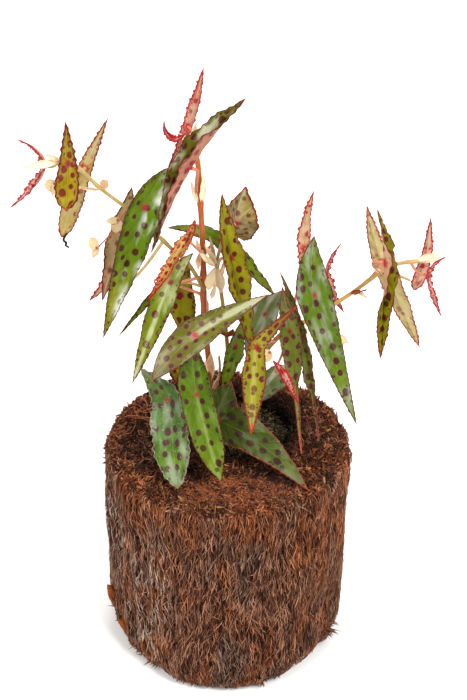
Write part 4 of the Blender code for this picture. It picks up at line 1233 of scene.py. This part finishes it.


# in every look the bloom colour and its patches give a silver bloom together with painted sheen
green = {
    "tail": (96, 110, 6), "middle": (90, 112, 5), "head": (146, 146, 30), "spot": (78, 34, 26),
    "margin": (88, 22, 18), "tip": (180, 60, 36), "heart": (164, 40, 58), "vein": (146, 156, 60),
    "bloom": (196, 196, 176), "spotGap": 5.8, "spotSize": 0.26, "spotShare": 0.85, "marginWidth": 0.55,
    "tipReach": 0.06, "heartSize": 1.9, "veinStrength": 0.34, "bloomPatches": 0.55, "gloss": 0.3,
}
lime = tinted(green, (140, 132, 2), (132, 126, 1), (130, 128, 4), spot=(96, 34, 18), margin=(116, 30, 18),
    tip=(190, 50, 32), heart=(142, 26, 36), heartSize=2.8, vein=(156, 152, 24), veinStrength=0.25,
    spotGap=5.0, spotSize=0.31, spotShare=0.85, marginWidth=0.75, bloomPatches=0.12, bloom=(176, 168, 90),
    gloss=0.36)
upperLooks = {
    "glossyGreen": tinted(green, (92, 112, 4), (86, 112, 4), (146, 146, 30), bloomSide=0.9,
        bloomPatches=0.95, edgeShade=0.55, spotGap=5.2, spotSize=0.24, heartSize=2.6, veinStrength=0.22,
        bloom=(206, 210, 194)),
    "green": tinted(green, (92, 114, 20), (84, 110, 14), (112, 134, 34), spot=(84, 36, 40),
        spotShare=0.95, bloom=(168, 172, 152), bloomPatches=0.6),
    "brightGreen": tinted(green, (60, 88, 1), (78, 106, 2), (100, 124, 8), bloomPatches=0.3,
        spot=(72, 34, 26), spotShare=0.8, bandStrength=0.5, bandWidth=1.4, bloom=(160, 178, 96),
        tip=(138, 150, 60)),
    "bandedGreen": tinted(green, (112, 120, 24), (108, 124, 10), (132, 130, 14), spot=(100, 34, 36),
        bandStrength=0.9, bandWidth=1.5, bloomPatches=0.6, bloomSide=0.6, bloom=(202, 208, 150),
        spotShare=0.9),
    "silverGreen": tinted(green, (106, 92, 46), (104, 102, 30), (112, 118, 32), spot=(102, 44, 56),
        margin=(100, 46, 44), bloom=(196, 196, 154), bandStrength=0.95, bandWidth=2.1, bloomPatches=0.4,
        spotGap=4.6, spotSize=0.25, spotShare=0.88, heart=(190, 60, 84), heartSize=2.5),
    "dustyGreen": tinted(green, (96, 118, 66), (78, 110, 42), (88, 122, 18), spot=(92, 48, 56),
        margin=(156, 136, 120), bloom=(166, 174, 150), bloomPatches=0.6, heart=(180, 56, 76), gloss=0.36,
        spotGap=5.2, spotSize=0.28, spotShare=0.92, specks=1.0, tip=(140, 130, 40), mottle=0.7),
    "broadGreen": tinted(green, (60, 76, 10), (58, 72, 12), (92, 102, 44), spot=(66, 42, 38),
        margin=(140, 60, 44), heart=(140, 40, 44), vein=(124, 134, 76), spotGap=6.4, spotSize=0.25,
        bloomPatches=0.5, bloom=(128, 134, 96), spotShare=0.8, bloomSide=0.4),
    "leafGreen": tinted(green, (116, 132, 12), (98, 126, 4), (130, 142, 20), spot=(80, 44, 26),
        bloom=(150, 156, 100), bloomPatches=0.4),
    "paleGreen": tinted(green, (118, 118, 30), (122, 134, 44), (150, 124, 62), spot=(112, 50, 54),
        margin=(124, 46, 40), bloom=(176, 172, 120), bloomPatches=0.4, tip=(184, 80, 64), tipReach=0.22,
        spotShare=0.95, spotSize=0.3, spotGap=4.8, marginWidth=0.4),
    "greyGreen": tinted(green, (116, 130, 80), (110, 128, 72), (134, 144, 100), spot=(104, 76, 66),
        bloom=(196, 198, 180), bloomPatches=0.9, spotShare=0.3, margin=(110, 78, 58), veinStrength=0.4),
    "lime": lime,
    "olive": tinted(lime, (150, 128, 2), (148, 126, 2), (150, 128, 14), spot=(120, 34, 16),
        margin=(108, 26, 16), marginWidth=0.95, spotGap=4.2, spotSize=0.34, spotShare=0.9),
    "darkOlive": tinted(lime, (108, 100, 14), (98, 92, 6), (100, 94, 12), spot=(76, 26, 18),
        margin=(96, 34, 26), bloomPatches=0.95, bloomSide=-0.3, bloom=(204, 200, 168), spotGap=5.0,
        spotSize=0.36, spotShare=0.95),
    "amber": tinted(lime, (204, 142, 80), (206, 160, 84), (196, 128, 70), spot=(160, 20, 24),
        margin=(168, 24, 28), tip=(190, 32, 42), marginWidth=0.6, spotGap=3.0, spotSize=0.36,
        spotShare=0.95),
    "ochreRed": tinted(lime, (136, 70, 44), (140, 136, 18), (142, 132, 24), spot=(112, 34, 36),
        margin=(118, 34, 30), marginWidth=0.75, spotGap=3.8, spotSize=0.33, spotShare=0.95,
        bandStrength=0.5, bandWidth=1.8, bloom=(206, 196, 110), tipReach=0.2),
    "crimson": tinted(lime, (232, 184, 166), (230, 176, 158), (234, 186, 168), spot=(176, 32, 42),
        margin=(176, 38, 44), tip=(200, 54, 58), heart=(166, 28, 38), marginWidth=0.9, spotGap=2.8,
        spotSize=0.36, spotShare=0.9, veinStrength=0.0, bloomPatches=0.0),
}
paleUnder = {
    "tail": (182, 160, 92), "middle": (180, 158, 88), "head": (184, 160, 92), "spot": (160, 78, 62),
    "margin": (136, 44, 34), "tip": (180, 64, 48), "heart": (184, 36, 44), "vein": (200, 182, 122),
    "bloom": (208, 196, 162), "spotGap": 5.4, "spotSize": 0.28, "spotShare": 0.8, "spotBlur": 0.45,
    "marginWidth": 0.8, "tipReach": 0.08, "heartSize": 2.6, "veinStrength": 0.45, "bloomPatches": 0.35,
    "gloss": 0.42, "relief": 1.0, "edgeShade": 0.12,
}
underLooks = {
    "pale": paleUnder,
    "broad": tinted(paleUnder, (152, 140, 62), (156, 138, 70), (168, 138, 84), spot=(132, 62, 56),
        margin=(128, 34, 30), veinStrength=0.8, heartSize=3.2, vein=(196, 170, 136), heart=(180, 44, 56),
        spokeReach=30.0, spokes=1.0, spotGap=4.6, spotSize=0.3, spotShare=0.95, marginWidth=1.3,
        tip=(200, 44, 52), tipReach=0.14),
    "cream": tinted(paleUnder, (202, 186, 128), (200, 184, 122), (200, 182, 118), spot=(188, 116, 92),
        margin=(160, 66, 52)),
    "beige": tinted(paleUnder, (212, 164, 126), (210, 166, 128), (206, 160, 112), spot=(180, 44, 46),
        margin=(170, 50, 44), spotShare=0.95, heart=(188, 30, 40), heartSize=4.0),
    "mauve": tinted(paleUnder, (178, 100, 86), (184, 116, 92), (196, 136, 104), spot=(146, 56, 58),
        spotBlur=0.5, spotSize=0.42, spotShare=0.98, spotGap=4.4, margin=(130, 30, 36), bloomPatches=0.1,
        edgeShade=0.3, veinStrength=0.2),
    "rose": tinted(paleUnder, (206, 118, 102), (200, 110, 98), (206, 116, 96), spot=(168, 44, 50),
        margin=(170, 40, 46), tip=(190, 50, 48), spotShare=0.95, spotGap=3.8),
    "brown": tinted(paleUnder, (166, 152, 96), (176, 148, 100), (178, 124, 92), spot=(134, 72, 50),
        margin=(116, 44, 36), spotBlur=0.7),
    "blush": tinted(paleUnder, (190, 122, 98), (190, 130, 102), (192, 120, 94), spot=(150, 62, 60),
        spotBlur=0.6, spotSize=0.38, spotShare=0.95, spotGap=4.6, margin=(136, 40, 40), bloomPatches=0.1,
        edgeShade=0.45),
    "pink": tinted(paleUnder, (228, 172, 152), (224, 162, 142), (214, 136, 120), spot=(178, 52, 54),
        margin=(164, 38, 40), tip=(190, 46, 48)),
    "crimson": tinted(paleUnder, (232, 182, 166), (226, 166, 150), (232, 184, 168), spot=(178, 44, 46),
        margin=(172, 34, 40), tip=(194, 48, 50), marginWidth=1.0, spotGap=3.0, spotSize=0.36),
    "greyGreen": tinted(paleUnder, (126, 128, 84), (124, 126, 80), (132, 132, 84), spot=(112, 80, 64),
        vein=(164, 164, 118)),
}
leafShine, leafRelief = 0.1, 0.35
upperSkins = {label: newMaterial(label + "Upper", leafSkin, leafRelief, leafShine, values)
              for label, values in upperLooks.items()}
underSkins = {label: newMaterial(label + "Under", leafSkin, leafRelief, leafShine, values)
              for label, values in underLooks.items()}


def cut(upper, under="pale", slot="green_leaf", tooth=0.35, toothGap=2.6, frill=1.0):
    # which skins and slot a leaf has, and how deep and far apart its teeth are
    return dict(upper=upper, under=under, slot=slot, tooth=tooth, toothGap=toothGap, frill=frill)


plainLooks = ("green", "brightGreen", "bandedGreen", "silverGreen", "leafGreen", "paleGreen")
leafLooks = {
    **{look: cut(look) for look in plainLooks},
    "glossyGreen": cut("glossyGreen", "blush"),
    "dustyGreen": cut("dustyGreen", tooth=1.0, toothGap=3.6, frill=1.8),
    "broadGreen": cut("broadGreen", "greyGreen"),
    "greyGreen": cut("greyGreen", "greyGreen", tooth=0.6),
    "lime": cut("lime", tooth=0.5, toothGap=2.2, slot="yellow_green_leaf"),
    "olive": cut("olive", tooth=0.9, toothGap=3.4, slot="yellow_green_leaf"),
    "oliveGreen": cut("lime", "beige", tooth=0.6, toothGap=2.6),
    "darkOlive": cut("darkOlive", "mauve", tooth=0.5),
    "blushBack": cut("olive", "brown", "yellow_green_leaf", tooth=0.4),
    "broadBack": cut("lime", "broad", "yellow_green_leaf", tooth=0.7),
    "beigeBack": cut("crimson", "beige", "young_red_leaf", tooth=1.0, toothGap=2.6, frill=1.5),
    "paleBack": cut("lime", "pale", "yellow_green_leaf", tooth=0.7),
    "creamBack": cut("lime", "cream", "yellow_green_leaf", tooth=0.7),
    "amber": cut("amber", "pink", "young_red_leaf", tooth=1.1, toothGap=2.2, frill=1.6),
    "ochreRed": cut("ochreRed", "pink", "yellow_green_leaf", tooth=0.6, toothGap=2.2),
    "youngRed": cut("crimson", "crimson", "young_red_leaf", tooth=1.1, toothGap=1.6, frill=2.2),
    "youngRose": cut("crimson", "rose", "young_red_leaf", tooth=0.8, toothGap=2.2, frill=1.6),
    "youngPink": cut("crimson", "pink", "young_red_leaf", tooth=0.8, toothGap=2.2, frill=1.6),
}

allLeaves = {**mainLeaves, **leftLeaves, **secondLeaves, **rightLeaves}
for number, (name, leaf) in enumerate(allLeaves.items()):
    growLeaf(name, leaf, 1.0 + 0.37 * number)
print("leaves ready:", len(allLeaves))


# the stems, their leaf stalks and papery scales

rootDepth = 88.0
mainRoute = [(-7, 4, rootDepth), (-7, 4, 112), (-8, 5, 134), (-9, 5, 153), (-11, 6, 179), (-11, 6, 207),
             (-12, 6, 237), (-13, 6, 256), (-16, 5, 267)]
leftRoute = [(-10.5, 5.5, 191), (-18, 2, 207), (-24, 0, 214), (-30, -4, 223), (-43, -7, 238),
             (-55, -8, 249), (-66, -9, 261), (-73, -8, 262)]
secondRoute = [(-1, 10, rootDepth), (-1, 10, 113), (1, 9, 136), (0, 8, 159), (-2, 7, 182), (-5, 5, 206)]
rightRoute = [(8, 13, rootDepth), (8, 13, 113), (11, 10, 135), (17, 4, 155), (25, -1, 170), (38, 3, 176),
               (48, 3, 183), (59, 2, 192), (72, 1, 204), (80, 0, 208), (88, 0, 209)]
# each scale: its foot, its tip, half its width, which way it faces, where it is widest and its paper
mainScales = [
    ((-11.5, 5, 236), (-10.2, 3.4, 252.5), 1.9, (0.5, -0.85, 0.1), 0.22, "paperScale"),
    ((-13, 5, 236), (-16.2, 3.4, 248.5), 1.5, (-0.5, -0.85, 0.1), 0.28, "paperScale"),
    ((-15.5, 5, 265), (-21, 0, 272), 1.6, (-0.4, -0.8, 0.5), 0.35, "paperScale"),
    ((-15.5, 5, 266), (-13, 0, 277), 1.4, (0.2, -0.9, 0.3), 0.35, "paperScale"),
    ((-5.1, 3, 204.3), (-13.4, -1, 215.2), 1.7, (-0.3, -0.9, 0.4), 0.4, "paperScale"),
    ((-4.6, 4, 205), (-10.4, 2, 216.7), 1.4, (0.3, -0.9, 0.3), 0.4, "paperScale"),
    ((-12.4, 5, 211), (-13.3, 0, 204.3), 1.6, (-0.4, -0.9, 0.1), 0.5, "blushScale"),
    ((-5.6, 5, 206), (-7.9, 3, 220.4), 1.2, (0.3, -0.9, 0.2), 0.3, "blushScale"),
    ((-12.3, 3, 212), (-13.7, -1, 221.3), 1.2, (-0.3, -0.9, 0.2), 0.35, "paperScale"),
    ((-9.9, 5, 137.7), (-7.7, 2, 158.9), 3.0, (0.1, -0.95, 0.2), 0.5, "blushScale"),
    ((-10.1, 4, 142), (-10.6, 1, 155), 1.4, (-0.3, -0.9, 0.2), 0.5, "paperScale"),
    ((-8, 5, 134), (-4, 1, 146), 1.9, (0.5, -0.85, 0.1), 0.35, "blushScale"),
]
leftScales = [
    ((-55, -8, 249), (-51.5, -11, 254.5), 2.4, (-0.3, -0.9, 0.3), 0.7, "blushScale"),
    ((-54, -8, 248.5), (-67, -12, 252), 1.0, (0.1, -0.9, -0.3), 0.4, "blushScale"),
    ((-72, -8, 262), (-78, -13, 268), 1.3, (-0.2, -0.9, 0.4), 0.35, "paperScale"),
    ((-72, -8, 262), (-88, -17, 263), 2.0, (-0.1, -0.9, 0.4), 0.4, "paperScale"),
    ((-19, 1.6, 208), (-20, -2, 214), 1.4, (-0.5, -0.8, 0.2), 0.35, "paperScale"),
]
secondScales = [
    ((-5.3, 4, 203.8), (-8.8, 0, 193.5), 2.9, (-0.4, -0.9, 0.1), 0.62, "paperScale"),
    ((-4.8, 4, 203.8), (-2.6, 0, 192), 2.8, (0.5, -0.85, 0.1), 0.55, "paperScale"),
    ((-3.2, 4, 200.6), (-0.2, 1, 210.6), 1.5, (0.5, -0.8, 0.3), 0.45, "blushScale"),
    ((-2.8, 4, 198.5), (-1.4, 2, 206.9), 1.2, (0.6, -0.8, 0.2), 0.45, "paperScale"),
    ((-5.0, 5.4, 194.6), (-7.4, 3, 187.4), 1.3, (-0.2, -0.95, 0.1), 0.7, "paperScale"),
    ((-0.1, 6, 164.9), (2.8, 3, 171.1), 2.4, (0.4, -0.85, 0.3), 0.6, "rustScale"),
    ((-0.1, 6, 165), (-2.4, 3, 170.5), 1.6, (-0.4, -0.85, 0.3), 0.5, "rustScale"),
]
rightScales = [
    ((57.5, 1, 191.7), (62.5, -2, 194.5), 1.3, (0.2, -0.9, 0.4), 0.4, "rustScale"),
    ((61.9, -1, 193.9), (64.4, -3, 195.9), 1.0, (0.6, -0.8, 0.1), 0.5, "rustScale"),
    ((60, 2, 193), (65, -2, 190.5), 1.1, (0.3, -0.9, 0.2), 0.35, "paperScale"),
    ((86, 0, 209), (97, -3, 215), 1.6, (0.0, -0.9, 0.4), 0.35, "paperScale"),
    ((86, 0, 209), (100, 3, 209), 1.5, (0.0, -0.9, 0.4), 0.35, "paperScale"),
    ((71, 1, 203), (67, -3, 207), 1.3, (-0.3, -0.9, 0.2), 0.35, "paperScale"),
]
mainStubs = [
    [(-11, 6, 192), (-17, 1, 197), (-22, -2, 199)],
    [(-9.2, 4.6, 138), (-4.6, 4, 142), (-3.6, 3, 149), (-3.9, 3, 156)],
]
rightStubs = [
    [(73, 1, 204.5), (79, -3, 203), (84, -4, 201)],
]
# each flower: its centre, its root on the stem, the way it faces, its tepals' turns, the pointed one
flowers = {
    "flower_01": ((-48, -9, 234), (-41, -7, 236.5), (-0.2, -0.8, 0.6), (5, 80), 1),
    "flower_02": ((-58, -6, 219), (-44, -7, 239), (-0.5, -0.8, 0.3), (20, 130), 0),
    "flower_03": ((-74, -13, 254), (-70, -8, 262), (-0.4, -0.9, 0.2), (60, 10), 1),
    "flower_04": ((52, -6, 172.5), (50, 3, 184.5), (0.1, -0.9, 0.4), (3, -52), 1),
    "flower_05": ((20, -15, 169), (19.6, 1.3, 160), (-0.2, -0.8, 0.6), (40, 85), 1),
}


def makeStemSkin():
    # a stem's colour runs from its foot to its top, with fine streaks along it
    board, given = newSkin("stemSkin", {
        "foot": (122, 76, 48), "middle": (166, 78, 32), "top": (196, 98, 38), "streak": (214, 138, 84),
        "footLevel": 125.0, "topLevel": 235.0, "gloss": 0.36,
    })
    place = board.node("ShaderNodeTexCoord").outputs["Object"]
    level = board.split(place)[2] * 1000.0
    half = (given["footLevel"] + given["topLevel"]) * 0.5
    colour = board.blend(board.rise(level, given["footLevel"], half), given["foot"], given["middle"])
    colour = board.blend(board.rise(level, half, given["topLevel"]), colour, given["top"])
    streak = board.streaks(place, 1500, 120, 3.0, 0.6)
    colour = board.blend(board.rise(streak, 0.45, 0.75) * 0.5, colour, given["streak"])
    blotch = board.cloud(place, 160, 2.0)
    colour = board.shade(colour, 0.7 + blotch * 0.6)
    return board.finish(colour, given["gloss"] + streak * 0.2, streak)


stemSkin = makeStemSkin()
softShine = 0.2
barks = newMaterials(stemSkin, softShine, {
    "orangeStem": (0.12, {}),
    "leftBranch": (0.12, {"foot": (150, 130, 60), "middle": (172, 146, 72), "top": (206, 176, 108),
        "streak": (216, 190, 130), "footLevel": 200.0, "topLevel": 262.0}),
    "oliveStem": (0.12, {"foot": (124, 106, 44), "middle": (160, 138, 44), "top": (190, 156, 62),
        "streak": (206, 178, 96), "footLevel": 120.0, "topLevel": 210.0}),
    "ochreStem": (0.12, {"foot": (140, 112, 62), "middle": (190, 140, 72), "top": (206, 168, 104),
        "streak": (222, 180, 120), "footLevel": 130.0, "topLevel": 214.0}),
    "pinkStalk": (0.08, {"foot": (196, 128, 88), "middle": (208, 132, 96), "top": (212, 130, 100),
        "streak": (228, 160, 128), "footLevel": 120.0, "topLevel": 260.0, "gloss": 0.32}),
    "paleStalk": (0.08, {"foot": (176, 150, 100), "middle": (198, 168, 112), "top": (206, 178, 126),
        "streak": (222, 200, 150), "footLevel": 120.0, "topLevel": 260.0, "gloss": 0.32}),
    "redCurl": (0.05, {"foot": (200, 56, 60), "middle": (206, 60, 64), "top": (206, 60, 64),
        "streak": (232, 150, 140)}),
})


def makePaperSkin():
    # the default paper colours go past 255 so the scales come out near white: painted light for papery
    # scales that sit in shade and are lit through from behind
    board, given = newSkin("paperSkin", {
        "paper": (278, 262, 218), "edge": (270, 232, 186), "flush": (262, 206, 170),
        "flushShare": 0.4,
    })
    place = board.node("ShaderNodeAttribute", attribute_name="leafPlace").outputs["Vector"]
    distance, across, edge = board.split(place)
    soft = board.cloud(place, 0.4, 2.0)
    lines = board.cloud(board.merge(distance * 0.25, across * 5.0), 1.0, 2.0)
    colour = board.blend(board.fall(edge, 0.1, 0.8), given["paper"], given["edge"])
    colour = board.blend(board.rise(soft, 0.45, 0.7) * given["flushShare"], colour, given["flush"])
    colour = board.shade(colour, 0.8 + lines * 0.4)
    return board.finish(colour, 0.4 + lines * 0.2, lines)


paperSkin = makePaperSkin()
papers = newMaterials(paperSkin, softShine, {
    # the plain scales keep the skin's brightened colours, painted light
    "paperScale": (0.15, {}),
    "rustScale": (0.2, {"paper": (168, 84, 34), "edge": (128, 54, 24), "flush": (196, 112, 58)}),
    "blushScale": (0.15, {"paper": (236, 190, 146), "edge": (246, 206, 160), "flush": (206, 120, 96)}),
    "driedTip": (0.2, {"paper": (42, 34, 30), "edge": (24, 20, 18), "flush": (70, 56, 46)}),
    "creamTepal": (0.12, {"paper": (234, 212, 164), "edge": (236, 200, 158), "flush": (226, 192, 112),
        "flushShare": 0.5}),
})

stemForm = {"station": 2.5, "sides": 3, "swell": 0.28, "swellReach": 3.0, "stalk": 0.72, "neck": 1.5}


def smoothRoute(points, gap):
    knots = [Vector(point) for point in points]
    ends = [2 * knots[0] - knots[1]] + knots + [2 * knots[-1] - knots[-2]]
    route = [knots[0]]
    for index in range(1, len(ends) - 2):
        before, start, stop, after = ends[index - 1:index + 3]
        count = max(1, round((stop - start).length / gap))
        for step in range(1, count + 1):
            t = step / count
            route.append(0.5 * (2 * start + (stop - before) * t
                                + (2 * before - 5 * start + 4 * stop - after) * t ** 2
                                + (3 * start - before - 3 * stop + after) * t ** 3))
    return route


def stemStrand(points, radii, joints):
    # a stem's route and its radius at each point: it thins to its tip and swells at its joints
    route = smoothRoute(points, stemForm["station"])
    sizes = []
    for index, place in enumerate(route):
        radius = radii[0] + (radii[1] - radii[0]) * index / (len(route) - 1)
        nearest = min((place - joint).length for joint in joints)
        radius *= 1 + stemForm["swell"] * math.exp(-(nearest / stemForm["swellReach"]) ** 2)
        sizes.append(radius)
    return route, sizes


def stalkStrand(leaf, route):
    # a leaf's stalk, from the stem into the underside of the blade at its heart
    line = midribLine(leaf)
    _, out = leafFrame(line, line[2], leaf["face"], 0.0)
    root = min(route, key=lambda place: (place - Vector(leaf["root"])).length)
    heart = Vector(leaf["heart"])
    end = heart - out * (leafForm["thickness"] * 0.6)
    neck = end - out * (stemForm["neck"] + 0.8)
    reach = (neck - root).length
    bend = neck - out * min(0.4 * reach, leaf.get("stalkBend", 12.0))
    start = Vector(leaf["stalkPull"]) if "stalkPull" in leaf else root.lerp(bend, 0.4)
    count = max(5, round(reach / 1.8))
    points = []
    for t in (index / count for index in range(count + 1)):
        points.append((1 - t) ** 3 * root + 3 * t * (1 - t) ** 2 * start
                      + 3 * t * t * (1 - t) * bend + t ** 3 * neck)
    points.append(end)
    thin = min(stemForm["stalk"], 0.13 * leaf["half"] + 0.16)
    radii = [stemForm["stalk"] * 1.15 + (thin - stemForm["stalk"] * 1.15) * (index / len(points)) ** 0.6
             for index in range(len(points))]
    radii[-1] *= 1.3
    return points, radii


def makeStem(name, node, slotName, arms, stubs):
    # each arm: its route, its two radii, its leaves, its bark and its leaf stalks' bark
    for number, (points, radii, leaves, bark, stalkBark) in enumerate(arms):
        joints = [Vector(leaf["root"]) for leaf in leaves.values()]
        strand = stemStrand(points, radii, joints)
        arm = growStrands(f"{name}Arm{number}", [strand], barks[bark], stemForm["sides"])
        handOver(arm, slotName, node)
        route = smoothRoute(points, 1.0)
        strands = [stalkStrand(leaf, route) for leaf in leaves.values()]
        stalks = growStrands(f"{name}Stalks{number}", strands, barks[stalkBark], 2)
        handOver(stalks, slotName, node)
    for number, points in enumerate(stubs):
        route = smoothRoute(points, 2.0)
        radii = [0.75 - 0.2 * index / len(route) for index in range(len(route))]
        stub = growStrands(f"{name}Stub{number}", [(route, radii)], barks["paleStalk"], 2)
        handOver(stub, slotName, node)


def growBlade(name, leaf, form, material):
    # a small thin blade, cupped or rolled, for a papery scale or a tepal
    line = midribLine(leaf)
    length, heartAt = line[1][-1], line[2]
    piece = addShape(bpy.ops.mesh.primitive_grid_add, x_subdivisions=form["stations"],
                     y_subdivisions=form["strips"], size=2)
    piece.name = name
    places = []
    for vert in piece.data.vertices:
        distance = (vert.co.x + 1) / 2 * length
        side = vert.co.y
        half = max(0.0, leafWidth(distance / length, heartAt / length, leaf))
        across, out = leafFrame(line, distance, leaf["face"], 0.0)
        roll = form["roll"] * side
        lift = half / max(0.01, form["roll"]) * (1 - math.cos(roll))
        reach = half / max(0.01, form["roll"]) * math.sin(roll)
        wave = form["wave"] * math.sin(distance * form["waves"] + leaf["half"] * 9)
        wave *= abs(side) ** 2 * half
        vert.co = (along(line, distance) + across * reach + out * (lift + wave)) * mm
        places += [distance - heartAt, side * half, (1 - abs(side)) * half]
    piece.data.attributes.new("leafPlace", "FLOAT_VECTOR", "POINT").data.foreach_set("vector", places)
    weld(piece, 0.02)
    thicken(piece, form["thickness"], 0.0)
    setMaterials(piece, material)
    return piece


scaleForm = {"stations": 22, "strips": 8, "roll": 0.9, "wave": 0.12, "waves": 1.4, "thickness": 0.22}


def makeScales(name, scales, node, slotName):
    blades = []
    for number, (foot, tip, half, face, belly, paper) in enumerate(scales):
        foot, tip = Vector(foot), Vector(tip)
        leaf = {"tail": foot, "heart": foot.lerp(tip, belly), "head": tip, "half": half, "face": face,
                "tailFull": 2.2, "headFull": 1.3}
        blades.append(growBlade(f"{name}{number}", leaf, scaleForm, papers[paper]))
    piece = joinPieces(name, blades)
    handOver(piece, slotName, node)


makeStem("mainStem", "main_stem", "orange_stem",
         [(mainRoute, (1.55, 1.2), mainLeaves, "orangeStem", "pinkStalk"),
          (leftRoute, (1.0, 0.75), leftLeaves, "leftBranch", "paleStalk")], mainStubs)
makeStem("secondStem", "second_stem", "ochre_stem",
         [(secondRoute, (1.25, 0.85), secondLeaves, "oliveStem", "paleStalk")], [])
makeStem("rightStem", "right_stem", "ochre_stem",
         [(rightRoute, (1.2, 0.85), rightLeaves, "ochreStem", "pinkStalk")], rightStubs)
for name, scales, node, slotName in (
        ("mainScales", mainScales, "main_stem", "orange_stem"),
        ("leftScales", leftScales, "main_stem", "orange_stem"),
        ("secondScales", secondScales, "second_stem", "ochre_stem"),
        ("rightScales", rightScales, "right_stem", "ochre_stem")):
    makeScales(name, scales, node, slotName)

# a black dried end below a leaf on the left, and a red curl at the top: points, radius, material and slot
curls = {
    "driedCurl": ([(-72.6, 1.5, 222.5), (-74.2, 1, 219.3), (-73.0, 1, 217.9), (-73.4, 1, 216.6),
                   (-71.8, 1, 215.4)], 0.62, papers["driedTip"], "yellow_green_leaf"),
    "redCurl": ([(-19.4, 0, 275), (-17.6, 2, 272.4), (-16.6, 3, 270), (-15.9, 4.6, 266.6)],
                0.5, barks["redCurl"], "young_red_leaf"),
}
for name, (points, radius, material, slotName) in curls.items():
    route = smoothRoute(points, 0.7)
    radii = [radius * (0.5 + 0.5 * math.sin(2.6 * index / len(route) + 0.3))
             for index in range(len(route))]
    handOver(growStrands(name, [(route, radii)], material, 1), slotName)
print("stems ready")


# the small cream flowers: a round and a pointed tepal and a knot of stamens on a red thread of a stalk

redThread = newMaterial("redThread", stemSkin, 0.05, softShine, {"foot": (206, 120, 96),
    "middle": (206, 104, 84), "top": (206, 96, 84), "streak": (226, 170, 130)})
tepalForm = {"stations": 22, "strips": 16, "roll": 0.55, "wave": 0.05, "waves": 0.9, "thickness": 0.3,
             "length": 5.6, "half": 2.7}


def makeFlower(name, centre, root, face, turns, pointedOne):
    centre, root, face = Vector(centre), Vector(root), Vector(face).normalized()
    sideways = face.cross(up).normalized()
    downward = face.cross(sideways).normalized()
    sag = root.lerp(centre, 0.5) + Vector((0, 0, -1.5))
    route = smoothRoute([root, sag, centre], 1.5)
    threads = [(route, [0.34] * len(route))]
    pieces = []
    for index, degrees in enumerate(turns):
        turn = math.radians(degrees)
        way = (downward * math.cos(turn) + sideways * math.sin(turn)).normalized()
        foot = centre - way * 0.9 + face * (0.5 * index)
        tip = centre + way * tepalForm["length"] + face * (0.5 * index + 0.4)
        pointed = index == pointedOne
        leaf = {"tail": foot, "heart": foot.lerp(tip, 0.4), "head": tip, "face": face, "tailFull": 2.2,
                "half": tepalForm["half"] * (0.66 if pointed else 1.08),
                "headFull": 1.5 if pointed else 2.8}
        pieces.append(growBlade(f"{name}Tepal{index}", leaf, tepalForm, papers["creamTepal"]))
    tepals = joinPieces(name + "_tepals", pieces)
    handOver(tepals, "cream_tepal", name)
    for ray in range(7):
        turn = math.tau * ray / 7
        spread = face * 1.3 + (downward * math.cos(turn) + sideways * math.sin(turn)) * 0.5
        threads.append(([centre, centre + spread * 0.6, centre + spread], [0.12, 0.14, 0.2]))
    stalk = growStrands(name + "_stalk", threads, redThread, 1)
    handOver(stalk, "cream_tepal", name)


for name, flower in flowers.items():
    makeFlower(name, *flower)
print("flowers ready")
